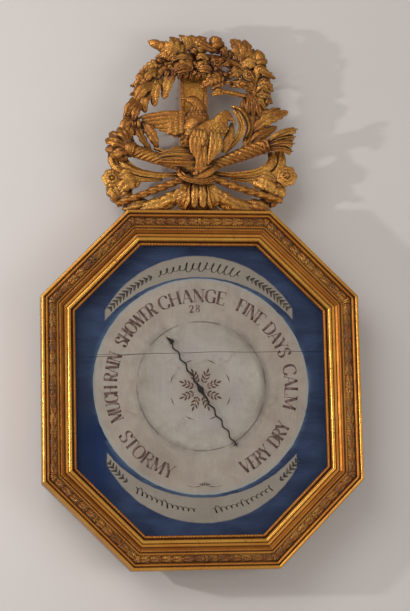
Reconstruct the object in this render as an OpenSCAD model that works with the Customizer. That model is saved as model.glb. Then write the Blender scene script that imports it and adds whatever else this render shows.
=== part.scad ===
// Wheel barometer with an eight-sided carved frame, after French work of about 1780.
// The origin lies on the wall, straight behind the arbor of the hand.
// +Z is up, +X is to the right seen from the front, and the front faces -Y.
// A depth is a distance from the wall, so a point at depth d has y = -d.

/* [Frame] */
// Width of the frame over its flats
frame_w = 560; // [520:5:620]
// Height of the frame over its flats
frame_h = 628; // [600:5:690]
// Leg of each cut corner
corner = 152; // [140:1:165]
// Width of a rail seen from the front
rail_w = 60; // [58:1:66]
// Depth of a rail from its back to its highest round
rail_d = 43; // [40:1:50]
// Width of the rebate for glass and dial
rebate_w = 8; // [6:0.5:9]
// Wood left in front of the glass
lip_t = 4; // [3:0.5:6]

/* [Case] */
// Depth of the case behind the frame
case_d = 42; // [40:1:60]
// Thickness of the case boards
wall_t = 10; // [8:0.5:12]
// Distance of the case inside the frame's outer edge
case_inset = 20; // [16:1:24]
// Thickness of the back panel
back_t = 8; // [6:0.5:9]

/* [Glass and dial] */
// Thickness of the glass
glass_t = 2; // [1.5:0.5:3]
// Space between dial and glass
slip_t = 10; // [9:0.5:12]
// Thickness of the dial boards
board_t = 9; // [8:0.5:10]
// Width of the open joint between the dial boards
crack_w = 0.8; // [0.5:0.1:1.5]
// Height of the open joint above the arbor
crack_z = 64; // [40:1:90]
// Width of a batten behind the dial
batten_w = 28; // [20:1:32]
// Thickness of a batten behind the dial
batten_t = 12; // [8:0.5:13]
// Distance of each batten from the middle
batten_x = 90; // [70:1:95]

/* [Movement] */
// Rise of the float for one turn of the hand
float_rise = 40.6; // [36:0.2:44]
// Angle of the hand at rest, clockwise from the top
rest_angle = -31.5; // [-60:0.5:60]
// Length of the hand above its boss
hand_tip = 112; // [90:1:125]
// Length of the hand below its boss
hand_tail = 117; // [90:1:125]
// Thickness of the hand
hand_t = 1.2; // [0.8:0.1:1.6]
// Radius of the arbor
arbor_r = 1.2; // [1:0.1:1.6]
// Length of the float
float_l = 12; // [9:0.5:16]
// Length of the counterweight
weight_l = 11; // [8:0.5:14]

/* [Siphon tube] */
// Outer radius of the tube
tube_r = 4; // [3.8:0.1:4.4]
// Wall of the tube
tube_wall = 1.25; // [1:0.05:1.4]
// Side distance of the long limb
long_x = 13.2; // [12.8:0.1:14.2]
// Height of the mercury column
mercury_h = 758; // [735:1:765]
// Empty space over the mercury
vacuum_h = 48; // [40:1:60]
// Height of the lower mercury surface above the bend
mercury_rise = 55; // [40:1:70]
// Height of the open end against the arbor
limb_top = -60; // [-90:1:-45]

/* [Tube housing] */
// Outer width of the housing
housing_w = 48; // [46:1:56]
// Thickness of its sides
housing_side = 5.5; // [4:0.5:6]
// Room over the tube inside the housing, with its top
tube_head = 13; // [10:0.5:20]
// Radius of the hanging hole
hang_r = 4; // [3:0.5:5]
// Thickness of the hanger plate
hang_t = 2.5; // [2:0.5:4]

/* [Crest] */
// Width of the crest from flame to feathers
crest_w = 352; // [335:1:370]
// Length of a wreath leaf
leaf_l = 46; // [36:1:50]
// Number of leaf pairs on each wreath branch
leaf_pairs = 7; // [5:1:8]
// Depth of the relief in the wreath
wreath_d = 16; // [14:0.5:17]
// Radius of the torch and quiver shafts
shaft_r = 9; // [7:0.5:10]
// Turns of the twist on a shaft
shaft_turns = 3; // [1:0.5:4]

/* [Hidden] */
$fn = 48;

gilt = "goldenrod";
old_wood = "sienna";
brass = "darkkhaki";
steel = "slategray";

// Clearances
foot_gap = 7.17;
wreath_drop = 5;
seat_gap = 0.3;
fit_gap = 0.2;
mitre_gap = 0.06;
running_gap = 0.06;
press_gap = 0.02;
thread_r = 0.25;
relief_gap = 0.4;

// Depths of the layers, from the wall
glass_drop = 27;
glass_front = case_d + rail_d - glass_drop;
glass_back = glass_front - glass_t;
dial_front = glass_back - slip_t;
dial_back = dial_front - board_t;
batten_back = dial_back - batten_t;
rebate_edge = rail_w - rebate_w + fit_gap;

// Movement
pulley_thread_r = float_rise / 360 * 180 / PI;
float_x = pulley_thread_r;
tube_room = 14;
tube_depth = back_t + tube_room;
bore_r = tube_r - tube_wall;
bend_r = (long_x + float_x) / 2;
bend_x = (float_x - long_x) / 2;
bend_z = bend_r + tube_r + foot_gap + case_inset + wall_t - frame_h / 2;
mercury_low = bend_z + mercury_rise;
tube_top = mercury_low + mercury_h + vacuum_h;
hand_lift = 3.8;
hand_depth = dial_front + hand_lift;
frame_top = frame_h / 2;
housing_top = tube_top + tube_head;
wreath_top = housing_top - frame_top - wreath_drop;
housing_foot = 14;
housing_low = frame_top - case_inset - wall_t - housing_foot;
housing_front = case_d;
housing_back = back_t;
housing_in = housing_w / 2 - housing_side;

// Screws
screw_r = 1.5;
screw_head_r = 3;
screw_head_h = 1.4;
pin_r = 0.8;
back_screw_l = back_t + 16;
batten_screw_l = batten_t + 5;
hanger_screw_l = hang_t + 4.5;

// Corner k of the octagon that lies t inside the frame's outer edge, clockwise from the top left
function oct(t) =
    let (lean = t * tan(22.5),
         x1 = frame_w / 2 - corner - lean,
         z1 = frame_h / 2 - t,
         x2 = frame_w / 2 - t,
         z2 = frame_h / 2 - corner - lean)
    [[-x1, z1], [x1, z1], [x2, z2], [x2, -z2], [x1, -z1], [-x1, -z1], [-x2, -z2], [-x2, z2]];

// Distance of side k from the middle
function side_distance(k) =
    k % 4 == 0 ? frame_h / 2 : k % 4 == 2 ? frame_w / 2 : (frame_w + frame_h - 2 * corner) / 2 / sqrt(2);

// Points on and along a bent line from a to b that leans towards m
function bend(a, m, b, t) = (1 - t) * (1 - t) * a + 2 * t * (1 - t) * m + t * t * b;
function bend_dir(a, m, b, t) = let (v = (1 - t) * (m - a) + t * (b - m)) v / norm(v);
function along3(v, t) = t < 0.5 ? v[0] + (v[1] - v[0]) * 2 * t : v[1] + (v[2] - v[1]) * (2 * t - 1);
function polar(a) = [cos(a), sin(a)];

// Front outline made solid between two depths
module slab(points, from, to)
    translate([0, -from, 0]) rotate([90, 0, 0]) linear_extrude(to - from) polygon(points);

// Round bar between two depths
module rod(from, to, r)
    translate([0, -from, 0]) rotate([90, 0, 0]) cylinder(h = to - from, r = r);

// Block between two x, two depths and two heights
module block(x1, x2, d1, d2, z1, z2)
    translate([x1, -d2, z1]) cube([x2 - x1, d2 - d1, z2 - z1]);

// Sector of side k between its two mitres
module sector(k, from, to, outer, inner) {
    a = oct(outer);
    b = oct(inner);
    j = (k + 1) % 8;
    u = (a[j] - a[k]) / norm(a[j] - a[k]) * mitre_gap;
    slab([a[k] + u, a[j] - u, b[j] - u, b[k] + u], from, to);
}

// Screw that enters towards the front, with its head at the given depth
module screw(x, depth, z, length)
    translate([x, 0, z]) {
        rod(depth, depth + screw_head_h, screw_head_r);
        rod(depth, depth + length, screw_r);
    }

module screw_hole(x, depth, z, length)
    translate([x, 0, z]) {
        rod(depth - 1, depth + screw_head_h + fit_gap, screw_head_r + fit_gap);
        rod(depth - 1, depth + length + seat_gap, screw_r + fit_gap / 2);
    }

// Frame rails
// Section of a rail: x runs inwards from the outer edge, and -y is the height over the rail's back
module rail_section() {
    lip = glass_front - case_d;
    sight = lip + lip_t;
    top = rail_d;
    difference() {
        union() {
            polygon([
                [0, 0], [0, -(top - 3)], [5.6, -(top - 3)], [6, -(top - 6)], [12.4, -(top - 7)],
                [12.8, -(top - 9)], [24.6, -(top - 10)], [25, -(top - 12)], [26.4, -(top - 12)],
                [26.4, -(top - 10)], [29.4, -(top - 10)], [29.4, -(top - 12)], [36, -(top - 13)],
                [40, -(top - 17)], [41, -(top - 17)], [41, -(top - 15)], [45, -(top - 16)],
                [45.4, -(top - 19)], [52.6, -(top - 21.4)], [54, -(sight - 1)],
                [rail_w, -sight], [rail_w, -lip], [rail_w - rebate_w, -lip], [rail_w - rebate_w, 0]
            ]);
            translate([2.8, -(top - 2.8)]) circle(r = 2.8);
            translate([9.2, -(top - 6.2)]) circle(r = 2.4);
            translate([18.9, -(top - 12.4)]) circle(r = 7);
            translate([33.2, -(top - 12)]) circle(r = 2);
            translate([48.8, -(top - 18.2)]) circle(r = 3.4);
            translate([rail_w - 2.6, -sight]) circle(r = 2.4);
        }
        translate([39.6, -(top - 11)]) circle(r = 3.8);
    }
}

module side_rail(k) {
    long = frame_w + frame_h;
    intersection() {
        sector(k, case_d - 1, case_d + rail_d + 1, -1, rail_w + 1);
        rotate([0, 45 * k, 0])
            translate([-long / 2, -case_d, side_distance(k)])
                rotate([0, 90, 0]) linear_extrude(long) rail_section();
    }
}

module rail_top() color(gilt) side_rail(0);
module rail_top_right() color(gilt) side_rail(1);
module rail_right() color(gilt) side_rail(2);
module rail_bottom_right() color(gilt) side_rail(3);
module rail_bottom() color(gilt) side_rail(4);
module rail_bottom_left() color(gilt) side_rail(5);
module rail_left() color(gilt) side_rail(6);
module rail_top_left() color(gilt) side_rail(7);

// Case
// Places of the back screws: two on each side, halfway into the boards
function back_screw_places() =
    let (o = oct(case_inset + wall_t / 2))
    [for (k = [0:7]) for (t = [0.22, 0.78]) o[k] + (o[(k + 1) % 8] - o[k]) * t];

module back_screw_holes()
    for (p = back_screw_places()) screw_hole(p[0], 0, p[1], back_screw_l);

module case_wall(k)
    difference() {
        sector(k, back_t, case_d, case_inset, case_inset + wall_t);
        back_screw_holes();
    }

module case_top()
    color(old_wood) difference() {
        case_wall(0);
        half = housing_w / 2 + seat_gap;
        block(-half, half, back_t - 1, case_d + 1, housing_low, frame_top);
    }
module case_top_right() color(old_wood) case_wall(1);
module case_right() color(old_wood) case_wall(2);
module case_bottom_right() color(old_wood) case_wall(3);
module case_bottom() color(old_wood) case_wall(4);
module case_bottom_left() color(old_wood) case_wall(5);
module case_left() color(old_wood) case_wall(6);
module case_top_left() color(old_wood) case_wall(7);

module back_panel()
    color(old_wood) difference() {
        slab(oct(case_inset), 0, back_t);
        back_screw_holes();
    }

module back_screws() color(steel) for (p = back_screw_places()) screw(p[0], 0, p[1], back_screw_l);

// Glass and dial
module glass_pane() color("lightblue", 0.4) slab(oct(rebate_edge), glass_back, glass_front);

module glass_slips() color("midnightblue")
    for (k = [0:7]) sector(k, dial_front, glass_back, rebate_edge, rail_w - 1);

batten_screw_z = [-200, -70, 50, 82, 200];
crack_slope = 0.028;
crack_wave = 2.6;
crack_steps = 28;

module dial_board() {
    difference() {
        slab(oct(rebate_edge), dial_back, dial_front);
        for (s = [-1, 1]) for (z = batten_screw_z) screw_hole(s * batten_x, batten_back, z, batten_screw_l);
        for (p = cock_screw_places()) screw_hole(p[0], cock_foot_back, p[1], cock_screw_l);
        for (p = clamp_places()) for (s = [-1, 1])
            screw_hole(p[0] + s * clamp_screw_x, clamp_flange_back, p[1], clamp_screw_l);
        rod(dial_back - 1, dial_front + 1, bush_r + fit_gap / 2);
    }
}

// Height of the open joint at x: it rises to the right and has opened along the grain
function crack_at(x) = crack_z + crack_slope * x + crack_wave * (cos(0.6 * (x + 40)) + 0.2 * sin(2.9 * x));

// Everything of the dial above the open joint, or below it with side = -1
module beside_crack(side) {
    line = [for (i = [0:crack_steps])
        let (x = frame_w * (i / crack_steps - 0.5)) [x, crack_at(x) + side * crack_w / 2]];
    slab(concat(line, [[frame_w / 2, side * frame_h], [-frame_w / 2, side * frame_h]]), 0, case_d + rail_d);
}

module dial_board_upper()
    color("ivory") intersection() {
        dial_board();
        beside_crack(1);
    }

module dial_board_lower()
    color("ivory") intersection() {
        dial_board();
        beside_crack(-1);
    }

module dial_battens() {
    reach = frame_h / 2 - case_inset - wall_t - seat_gap;
    color(old_wood) for (s = [-1, 1]) difference() {
        block(s * batten_x - batten_w / 2, s * batten_x + batten_w / 2, batten_back, dial_back, -reach, reach);
        for (z = batten_screw_z) screw_hole(s * batten_x, batten_back, z, batten_screw_l);
    }
}

module batten_screws()
    color(steel) for (s = [-1, 1]) for (z = batten_screw_z) screw(s * batten_x, batten_back, z, batten_screw_l);

// Movement
bush_r = 3.5;
bush_flange_r = 6;
bush_flange_t = 1.6;

module front_bush()
    color(brass) difference() {
        union() {
            rod(dial_back, dial_front + 1, bush_r);
            rod(dial_back - bush_flange_t, dial_back, bush_flange_r);
        }
        rod(0, case_d + rail_d, arbor_r + running_gap);
    }

cock_back = tube_depth - 9;
cock_t = 3;
cock_h = 9;
cock_reach = 40;
cock_foot_w = 12;
cock_foot_back = dial_back - cock_t;
cock_screw_l = 8;
function cock_screw_places() = [for (z = [-7, 7]) [cock_reach + cock_foot_w / 2, z]];

// Bridge that carries the rear end of the arbor, on a foot beside the pulley
module cock()
    color(brass) difference() {
        union() {
            block(0, cock_reach, cock_back, cock_back + cock_t, -cock_h / 2, cock_h / 2);
            rod(cock_back, cock_back + cock_t, cock_h / 2);
            block(cock_reach - cock_t, cock_reach, cock_back, dial_back, -cock_h / 2, cock_h / 2);
            block(cock_reach - cock_t, cock_reach + cock_foot_w, cock_foot_back, dial_back,
                  -cock_foot_w, cock_foot_w);
        }
        rod(0, case_d, arbor_r + running_gap);
        for (p = cock_screw_places()) screw_hole(p[0], cock_foot_back, p[1], cock_screw_l);
    }

module cock_screws() color(steel) for (p = cock_screw_places()) screw(p[0], cock_foot_back, p[1], cock_screw_l);

arbor_front = hand_depth + hand_t + 2;

module arbor() color(steel) rod(cock_back - 1, arbor_front, arbor_r);

pulley_w = 5;

// Pulley with a groove for each thread
module pulley() {
    groove = pulley_thread_r - thread_r - 0.05;
    rim = groove + 1.6;
    q = pulley_w / 4;
    color(brass) translate([0, -(tube_depth - pulley_w / 2), 0]) rotate([90, 0, 0]) rotate_extrude()
        polygon([
            [arbor_r + press_gap, 0], [rim, 0], [groove, q - 0.5], [groove, q + 0.5], [rim, 2 * q],
            [groove, 3 * q - 0.5], [groove, 3 * q + 0.5], [rim, 4 * q], [arbor_r + press_gap, 4 * q]
        ]);
}

// Half sizes of the hand's boss, arrowhead and stem
boss_l = 13;
boss_half = 4.6;
arrow_l = 15.5;
arrow_half = 4.8;
stem_half = 1.6;

// Half width of the hand at height s
function hand_half(s) =
    abs(s) < boss_l ? boss_half - abs(s) * 0.24
        : s > hand_tip - arrow_l ? (hand_tip - s) * arrow_half / arrow_l
        : stem_half - 0.004 * abs(s);
// Sideways sway of the hand at height s
function hand_sway(s) = 2.1 * sin(s * 15.5) * min(1, max(0, (abs(s) - 8) / 20)) * min(1, (130 - abs(s)) / 30);

module hand_blank() {
    steps = 88;
    up = [for (i = [0:steps]) -hand_tail + 3 + (hand_tip + hand_tail - 3) * i / steps];
    polygon(concat(
        [for (s = up) [hand_sway(s) + hand_half(s), s]],
        [for (i = [steps - 1:-1:0]) [hand_sway(up[i]) - hand_half(up[i]), up[i]]]
    ));
}

// Cross-shaped end of the tail
module hand_finial()
    translate([hand_sway(3 - hand_tail), 3 - hand_tail]) {
        square([9, 1.8], center = true);
        square([2.2, 8], center = true);
    }

module hand()
    color(steel) rotate([0, rest_angle, 0]) difference() {
        translate([0, -hand_depth, 0]) rotate([90, 0, 0]) linear_extrude(hand_t) {
            hand_blank();
            hand_finial();
            circle(r = 5.4);
        }
        rod(0, case_d + rail_d, arbor_r + press_gap);
    }

module hand_nut()
    color(brass) difference() {
        union() {
            rod(hand_depth + hand_t, hand_depth + hand_t + 1.2, 3.6);
            rod(hand_depth + hand_t + 1.2, arbor_front + 0.8, 2.6);
        }
        rod(0, arbor_front, arbor_r + press_gap);
    }

// Siphon tube
// Round tube or rod along the limbs and the bend, with the tops at the given heights
module siphon(r, hole_r, short_top, long_top) {
    translate([0, -tube_depth, bend_z]) {
        translate([float_x, 0, 0]) pipe(r, hole_r, short_top - bend_z);
        translate([-long_x, 0, 0]) pipe(r, hole_r, long_top - bend_z);
        translate([bend_x, 0, 0]) rotate([-90, 0, 0]) rotate_extrude(angle = 180)
            translate([bend_r, 0]) difference() {
                circle(r = r);
                if (hole_r > 0) circle(r = hole_r);
            }
    }
}

module pipe(r, hole_r, h)
    difference() {
        cylinder(h = h, r = r);
        if (hole_r > 0) translate([0, 0, -1]) cylinder(h = h + 2, r = hole_r);
    }

mercury_r = bore_r - 0.08;

module siphon_tube()
    color("lightcyan", 0.5) union() {
        siphon(tube_r, bore_r, limb_top, tube_top);
        translate([-long_x, -tube_depth, tube_top])
            cylinder(h = tube_wall * 1.5, r1 = tube_r, r2 = tube_r * 0.5);
    }

limb_fill = bend_z + 4;

module mercury_column() color("silver") siphon(mercury_r, 0, limb_fill, mercury_low + mercury_h);

module mercury_low_limb()
    color("silver") translate([float_x, -tube_depth, limb_fill])
        cylinder(h = mercury_low - limb_fill, r = mercury_r);

float_r = bore_r - 0.45;

// Drop-shaped weight with a neck for its thread, hanging from height z
module plumb(x, depth, z, r, length)
    translate([x, -depth, z - length]) rotate_extrude()
        polygon([
            [0, 0], [r * 0.7, 0], [r, 1], [r, length - 3],
            [r * 0.35, length - 1], [r * 0.35, length], [0, length]
        ]);

float_top = mercury_low + seat_gap + float_l;
weight_top = -58;
// The two threads lie in their own grooves
float_thread_depth = tube_depth + pulley_w / 4;
weight_thread_depth = tube_depth - pulley_w / 4;

module float() color("whitesmoke") plumb(float_x, tube_depth, float_top, float_r, float_l);

module counterweight() color(brass) plumb(-float_x, weight_thread_depth, weight_top, 2, weight_l);

module float_thread()
    color("seashell") translate([float_x, -float_thread_depth, float_top])
        cylinder(h = -float_top, r = thread_r);

module weight_thread()
    color("seashell") translate([-float_x, -weight_thread_depth, weight_top])
        cylinder(h = -weight_top, r = thread_r);

clamp_t = 1;
clamp_h = 8;
clamp_in = tube_r + 0.1;
clamp_wing = 6;
clamp_flange_back = tube_depth + tube_r - clamp_t;
clamp_screw_x = clamp_in + clamp_t + clamp_wing / 2;
clamp_half = clamp_in + clamp_t + clamp_wing - 0.6;
clamp_screw_l = dial_back - clamp_flange_back + 6;
// Places of the clamps: three on the long limb, and one on the short limb
function clamp_places() = [[-long_x, -160], [-long_x, 35], [-long_x, 180], [float_x, -100]];

// Wooden block between each clamp and the dial board
module tube_blocks()
    color(old_wood) for (p = clamp_places()) difference() {
        block(p[0] - clamp_half, p[0] + clamp_half, tube_depth + tube_r + 0.1, dial_back,
              p[1] - clamp_h / 2, p[1] + clamp_h / 2);
        for (s = [-1, 1]) screw_hole(p[0] + s * clamp_screw_x, clamp_flange_back, p[1], clamp_screw_l);
    }

// Bent strap over the tube
module tube_clamps()
    color(brass) for (p = clamp_places()) difference() {
        translate([p[0], -tube_depth, p[1] - clamp_h / 2]) linear_extrude(clamp_h) difference() {
            union() {
                circle(r = clamp_in + clamp_t);
                translate([-clamp_in - clamp_t, -tube_r]) square([2 * (clamp_in + clamp_t), tube_r]);
                translate([-clamp_half, -tube_r]) square([2 * clamp_half, clamp_t]);
            }
            circle(r = clamp_in);
            translate([-clamp_in, -2 * tube_r]) square([2 * clamp_in, 2 * tube_r]);
            translate([-clamp_half, -3 * tube_r]) square([2 * clamp_half, 2 * tube_r]);
        }
        for (s = [-1, 1]) screw_hole(p[0] + s * clamp_screw_x, clamp_flange_back, p[1], clamp_screw_l);
    }

module clamp_screws()
    color(steel) for (p = clamp_places()) for (s = [-1, 1])
        screw(p[0] + s * clamp_screw_x, clamp_flange_back, p[1], clamp_screw_l);

// Tube housing behind the crest
housing_floor_t = 5;
cover_t = 3;
cover_back = housing_front - 6;
hang_rise = 15;
hang_rim = 5;
hang_z = housing_top + hang_rise;
hanger_half = 13;
hanger_l = 22;
function hanger_screw_places() = [for (x = [-7, 7]) [x, housing_top - 10]];
function cover_pin_places() =
    [for (s = [-1, 1]) for (z = [frame_top + 40, housing_top - 25]) [s * (housing_in - 4), z]];

module tube_housing()
    color(gilt) difference() {
        block(-housing_w / 2, housing_w / 2, housing_back, housing_front, housing_low, housing_top);
        block(-housing_in, housing_in, housing_back + housing_floor_t, housing_front + 1,
              housing_low - 1, housing_top - housing_side);
        for (p = hanger_screw_places()) screw_hole(p[0], housing_back - hang_t, p[1], hanger_screw_l);
    }

module housing_cover()
    color(gilt) difference() {
        block(-housing_in + fit_gap, housing_in - fit_gap, cover_back, cover_back + cover_t,
              housing_low, housing_top - housing_side - fit_gap);
        for (p = cover_pin_places()) translate([p[0], 0, p[1]]) rod(0, case_d * 2, pin_r + fit_gap / 2);
    }

module cover_pins()
    color(brass) for (p = cover_pin_places()) translate([p[0], 0, p[1]]) {
        rod(cover_back - 4, cover_back + cover_t + 0.2, pin_r);
        rod(cover_back + cover_t + 0.1, cover_back + cover_t + 0.9, pin_r * 2);
    }

module hanger_plate()
    color(steel) difference() {
        hull() {
            block(-hanger_half, hanger_half, housing_back - hang_t, housing_back,
                  housing_top - hanger_l, housing_top);
            translate([0, 0, hang_z]) rod(housing_back - hang_t, housing_back, hang_r + hang_rim);
        }
        translate([0, 0, hang_z]) rod(-1, housing_back + 1, hang_r);
        for (p = hanger_screw_places()) screw_hole(p[0], housing_back - hang_t, p[1], hanger_screw_l);
    }

module hanger_screws()
    color(steel) for (p = hanger_screw_places()) screw(p[0], housing_back - hang_t, p[1], hanger_screw_l);

// Carved crest
// Its places are given over the middle of the frame's top edge, as x and height.
// Cross-sections of a carved stroke: across it from -1 to 1, and its share of the relief
KEEL = [[-1, 0.35], [0, 1], [1, 0.35], [0.7, 0], [-0.7, 0]];
ROUND = [[-1, 0.3], [-0.6, 0.85], [0, 1], [0.6, 0.85], [1, 0.3], [0.7, 0], [-0.7, 0]];

// The crest is drawn for this width and height, and its places are stretched to the real ones.
// A stroke swells with the larger stretch, so that neighbours keep their hold on each other.
drawn_w = 352;
drawn_h = 292;
across = crest_w / drawn_w;
upward = wreath_top / drawn_h;
swell = max(across, upward);
function place(p) = [p[0] * across, p[1] * upward];

function stroke_ring(a, m, b, w, h, back, t, section) =
    let (p = bend(place(a), place(m), place(b), t), q = bend_dir(place(a), place(m), place(b), t),
         width = along3(w, t) * swell, high = along3(h, t))
    [for (s = section) [p[0] - q[1] * s[0] * width, -back - s[1] * high, p[1] + q[0] * s[0] * width]];

// Carved stroke from a to b, bent towards m, with its half widths and its relief at start, middle and end
module stroke(a, m, b, w, h, back, steps = 4, section = ROUND)
    for (i = [0:steps - 1]) {
        pts = concat(stroke_ring(a, m, b, w, h, back, i / steps, section),
                     stroke_ring(a, m, b, w, h, back, (i + 1) / steps, section));
        hull() polyhedron(points = pts, faces = [[for (k = [0:len(pts) - 1]) k]]);
    }

// Leaf that starts at a and points along the angle, curling by the given angle
module leaf(a, angle, curl, length, width, high, back) {
    tip = a + length * polar(angle + curl);
    middle = a + length * 0.5 * polar(angle);
    stroke(a, middle, tip, [width * 0.4, width, width * 0.12], [high * 0.6, high, high * 0.4], back, 3, KEEL);
}

// Rounded bud or berry
module bud(p, r, depth) translate([place(p)[0], -depth, place(p)[1]]) sphere(r = r * swell, $fn = 8);

// Rope-like shaft between two points, tapering from r1 to r2
module twisted_shaft(a, b, r1, r2, depth) {
    v = place(b) - place(a);
    lobes = 4;
    outline = [for (i = [0:2 * lobes - 1]) (i % 2 == 0 ? r1 : r1 * 0.76) * polar(i * 180 / lobes)];
    translate([place(a)[0], -depth, place(a)[1]]) rotate([0, atan2(v[0], v[1]), 0])
        linear_extrude(norm(v), twist = 720 * shaft_turns / lobes, scale = r2 / r1, slices = 11, $fn = 8)
            polygon(outline);
}

// Everything below the frame's top edge is cut away from what stands on it
module on_frame()
    difference() {
        union() children();
        translate([-frame_w / 2, -frame_w / 2, seat_gap - 100]) cube([frame_w, frame_w, 100]);
    }

// Half of the wreath, cut at the glue joint in the middle, s = -1 for left
module wreath_half(s)
    difference() {
        union() children();
        translate([s > 0 ? seat_gap / 2 - 100 : -seat_gap / 2, -frame_w / 2, 0]) cube([100, frame_w, housing_top]);
    }

// Depths over the back of the crest
wreath_front = wreath_d;
trophy_depth = wreath_front + shaft_r + 2 + relief_gap;
trophy_back = trophy_depth - shaft_r - 0.2;
trophy_front = trophy_depth + shaft_r + 2;

module crest() color(gilt) translate([0, -(housing_front + seat_gap), frame_top]) children();

// Branch of overlapping leaves in three rows along a bent line, getting smaller to its tip
module branch(a, m, b, lean) {
    stroke(a, m, b, [7, 8, 6], [wreath_d * 0.7, wreath_d * 0.8, wreath_d * 0.7], 0, 6, KEEL);
    for (i = [0:leaf_pairs - 1]) {
        t = (i + 0.35) / leaf_pairs;
        p = bend(a, m, b, t);
        q = bend_dir(a, m, b, t);
        base = atan2(q[1], q[0]);
        size = leaf_l * (1 - 0.15 * t);
        leaf(p, base + lean, -lean * 0.5, size, size * 0.23, wreath_d * 0.9, 0);
        leaf(p, base - lean, lean * 0.6, size * 0.9, size * 0.22, wreath_d * 0.8, 0);
        leaf(p, base + lean * 0.1, lean * 0.1, size * 0.8, size * 0.2, wreath_d, 0);
    }
}

module wreath_left()
    crest() wreath_half(-1) {
        branch([-124, 138], [-100, 274], [-2, 292], 40);
        // leaves that curl down to the torch, with the foot of the branch behind it
        stroke([-114, 186], [-78, 160], [-78, 118], [7, 8, 4], [12, 15, 10], 0, 4, KEEL);
        stroke([-124, 170], [-118, 140], [-92, 120], [6, 8, 4], [12, 15, 10], 0, 4, KEEL);
        stroke([-124, 142], [-132, 120], [-120, 104], [9, 9, 7], [14, 15, 15], 0, 3, KEEL);
        leaf([-62, 262], 142, -8, 52, 10, 16, 0);
        leaf([-52, 272], 116, -10, 50, 11, 17, 0);
        leaf([-26, 284], 92, -14, 46, 11, 17, 0);
        leaf([-12, 290], 70, -10, 40, 10, 18, 0);
        leaf([-58, 262], -112, 12, 58, 10, 15, 0);
        leaf([-78, 246], -118, 8, 56, 9, 14, 0);
        bud([-98, 294], 8, 10);
    }

module wreath_right()
    crest() wreath_half(1) {
        branch([98, 150], [156, 280], [2.6, 292], -40);
        leaf([28, 288], 64, -12, 44, 11, 17, 0);
        leaf([66, 280], 66, 10, 46, 11, 16, 0);
        leaf([78, 274], 40, 12, 48, 10, 16, 0);
        leaf([96, 262], 20, 8, 46, 9, 15, 0);
        leaf([112, 226], 18, 16, 34, 8, 14, 0);
        stroke([112, 232], [70, 214], [14, 232], [7, 9, 7], [14, 17, 13], 0, 5, KEEL);
        stroke([70, 284], [40, 250], [14, 236], [8, 9, 7], [14, 16, 14], 0, 4, KEEL);
        stroke([100, 252], [84, 240], [50, 262], [6, 8, 6], [13, 15, 13], 0, 4, KEEL);
        leaf([30, 236], 196, 20, 26, 8, 14, 0);
        leaf([56, 224], 236, 30, 26, 7, 13, 0);
        bud([36, 312], 13, 11);
        bud([114, 286], 13, 11);
        bud([82, 308], 8, 9);
        bud([84, 238], 8, 12);
        // long leaves that stand out to the right, and the foot of the branch behind the quiver
        stroke([84, 108], [116, 156], [166, 192], [8, 13, 5], [12, 14.5, 8], 0, 4, KEEL);
        stroke([92, 104], [120, 126], [148, 158], [8, 12, 4], [12, 14.5, 8], 0, 3, KEEL);
        stroke([98, 154], [92, 126], [98, 102], [9, 9, 7], [14, 15, 15], 0, 3, KEEL);
    }

dove_back_left = wreath_front + relief_gap;
dove_front_left = dove_back_left + 15;

module dove_left()
    crest() {
        // body that reaches back to the housing
        stroke([-22, 112], [-18, 152], [4, 174], [12, 21, 12], [28, dove_front_left, 31],
               0, 4);
        stroke([0, 166], [14, 186], [30, 172], [13, 13, 3], [29, 32, 22], 0.5, 3);
        // open wing on the left, the tip of the other wing, and the tail
        for (i = [0:4])
            leaf([-16 - i, 178 - 8 * i], 176 + 4 * i, 4, 88 - 9 * i, 8, 14 - i, dove_back_left + 0.1 * i);
        for (i = [0:2])
            leaf([-14, 150 - 8 * i], 196 + 10 * i, 5, 44 - 4 * i, 7, 11 - i, dove_back_left + 0.1 * i);
        leaf([12, 160], 60, 18, 44, 9, 13, dove_back_left + 0.5);
    }

dove_back_right = max(dove_front_left, trophy_front) + relief_gap;

module dove_right()
    crest() {
        stroke([2, 92], [6, 138], [38, 154], [10, 25, 15], [13, 17, 14], dove_back_right, 5);
        stroke([26, 142], [52, 166], [50, 186], [15, 17, 11], [14, 16.5, 13], dove_back_right + 0.1, 4);
        stroke([54, 178], [68, 176], [70, 162], [9, 6, 1], [13, 11, 6], dove_back_right, 3);
        // folded wing and tail
        for (i = [0:4])
            leaf([34 - 3 * i, 152 - 4 * i], -88 - 5 * i, -6, 66 - 4 * i, 7, 16 - i, dove_back_right + 0.1 * i);
        for (i = [0:3])
            leaf([6 - 2 * i, 104], -86 - 8 * i, -3, 44 - 2 * i, 5, 13 - i, dove_back_right + 0.1 * i);
    }

// Torch and quiver, crossed and bound together
module torch_and_quiver()
    crest() {
        knot = [0, 72];
        torch = [-128, 116];
        quiver = [122, 124];
        upper_r = shaft_r + 1.5;
        twisted_shaft(torch, knot, upper_r, shaft_r, trophy_depth);
        twisted_shaft(quiver, knot, upper_r, shaft_r, trophy_depth);
        twisted_shaft(knot, [148, 28], shaft_r * 0.72, shaft_r * 0.6, trophy_depth);
        twisted_shaft(knot, [-142, 18], shaft_r * 0.72, shaft_r * 0.6, trophy_depth);
        // flames, feathers and bands
        for (i = [0:4]) leaf(torch, 122 + 17 * i, 14 - 6 * i, 38 - abs(i - 2) * 3, 8, 20, trophy_depth - 10);
        for (i = [0:4]) leaf(quiver, -14 + 9 * i, 4, 62 - abs(i - 2) * 3, 8, 20, trophy_depth - 10);
        for (s = [[torch, -19], [quiver, 23]]) translate([place(s[0])[0], -trophy_depth, place(s[0])[1]])
            rotate([0, s[1] + 90, 0]) cylinder(h = 8, r = upper_r + 1.5, center = true, $fn = 10);
        // binding over the crossing
        stroke([30, 58], [4, 92], [-30, 82], [7, 9, 7], [16, 20, 14], trophy_back + 0.1, 4);
        stroke([-28, 74], [0, 42], [30, 74], [8, 9, 8], [14, 18, 14], trophy_back, 5);
    }

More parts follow.
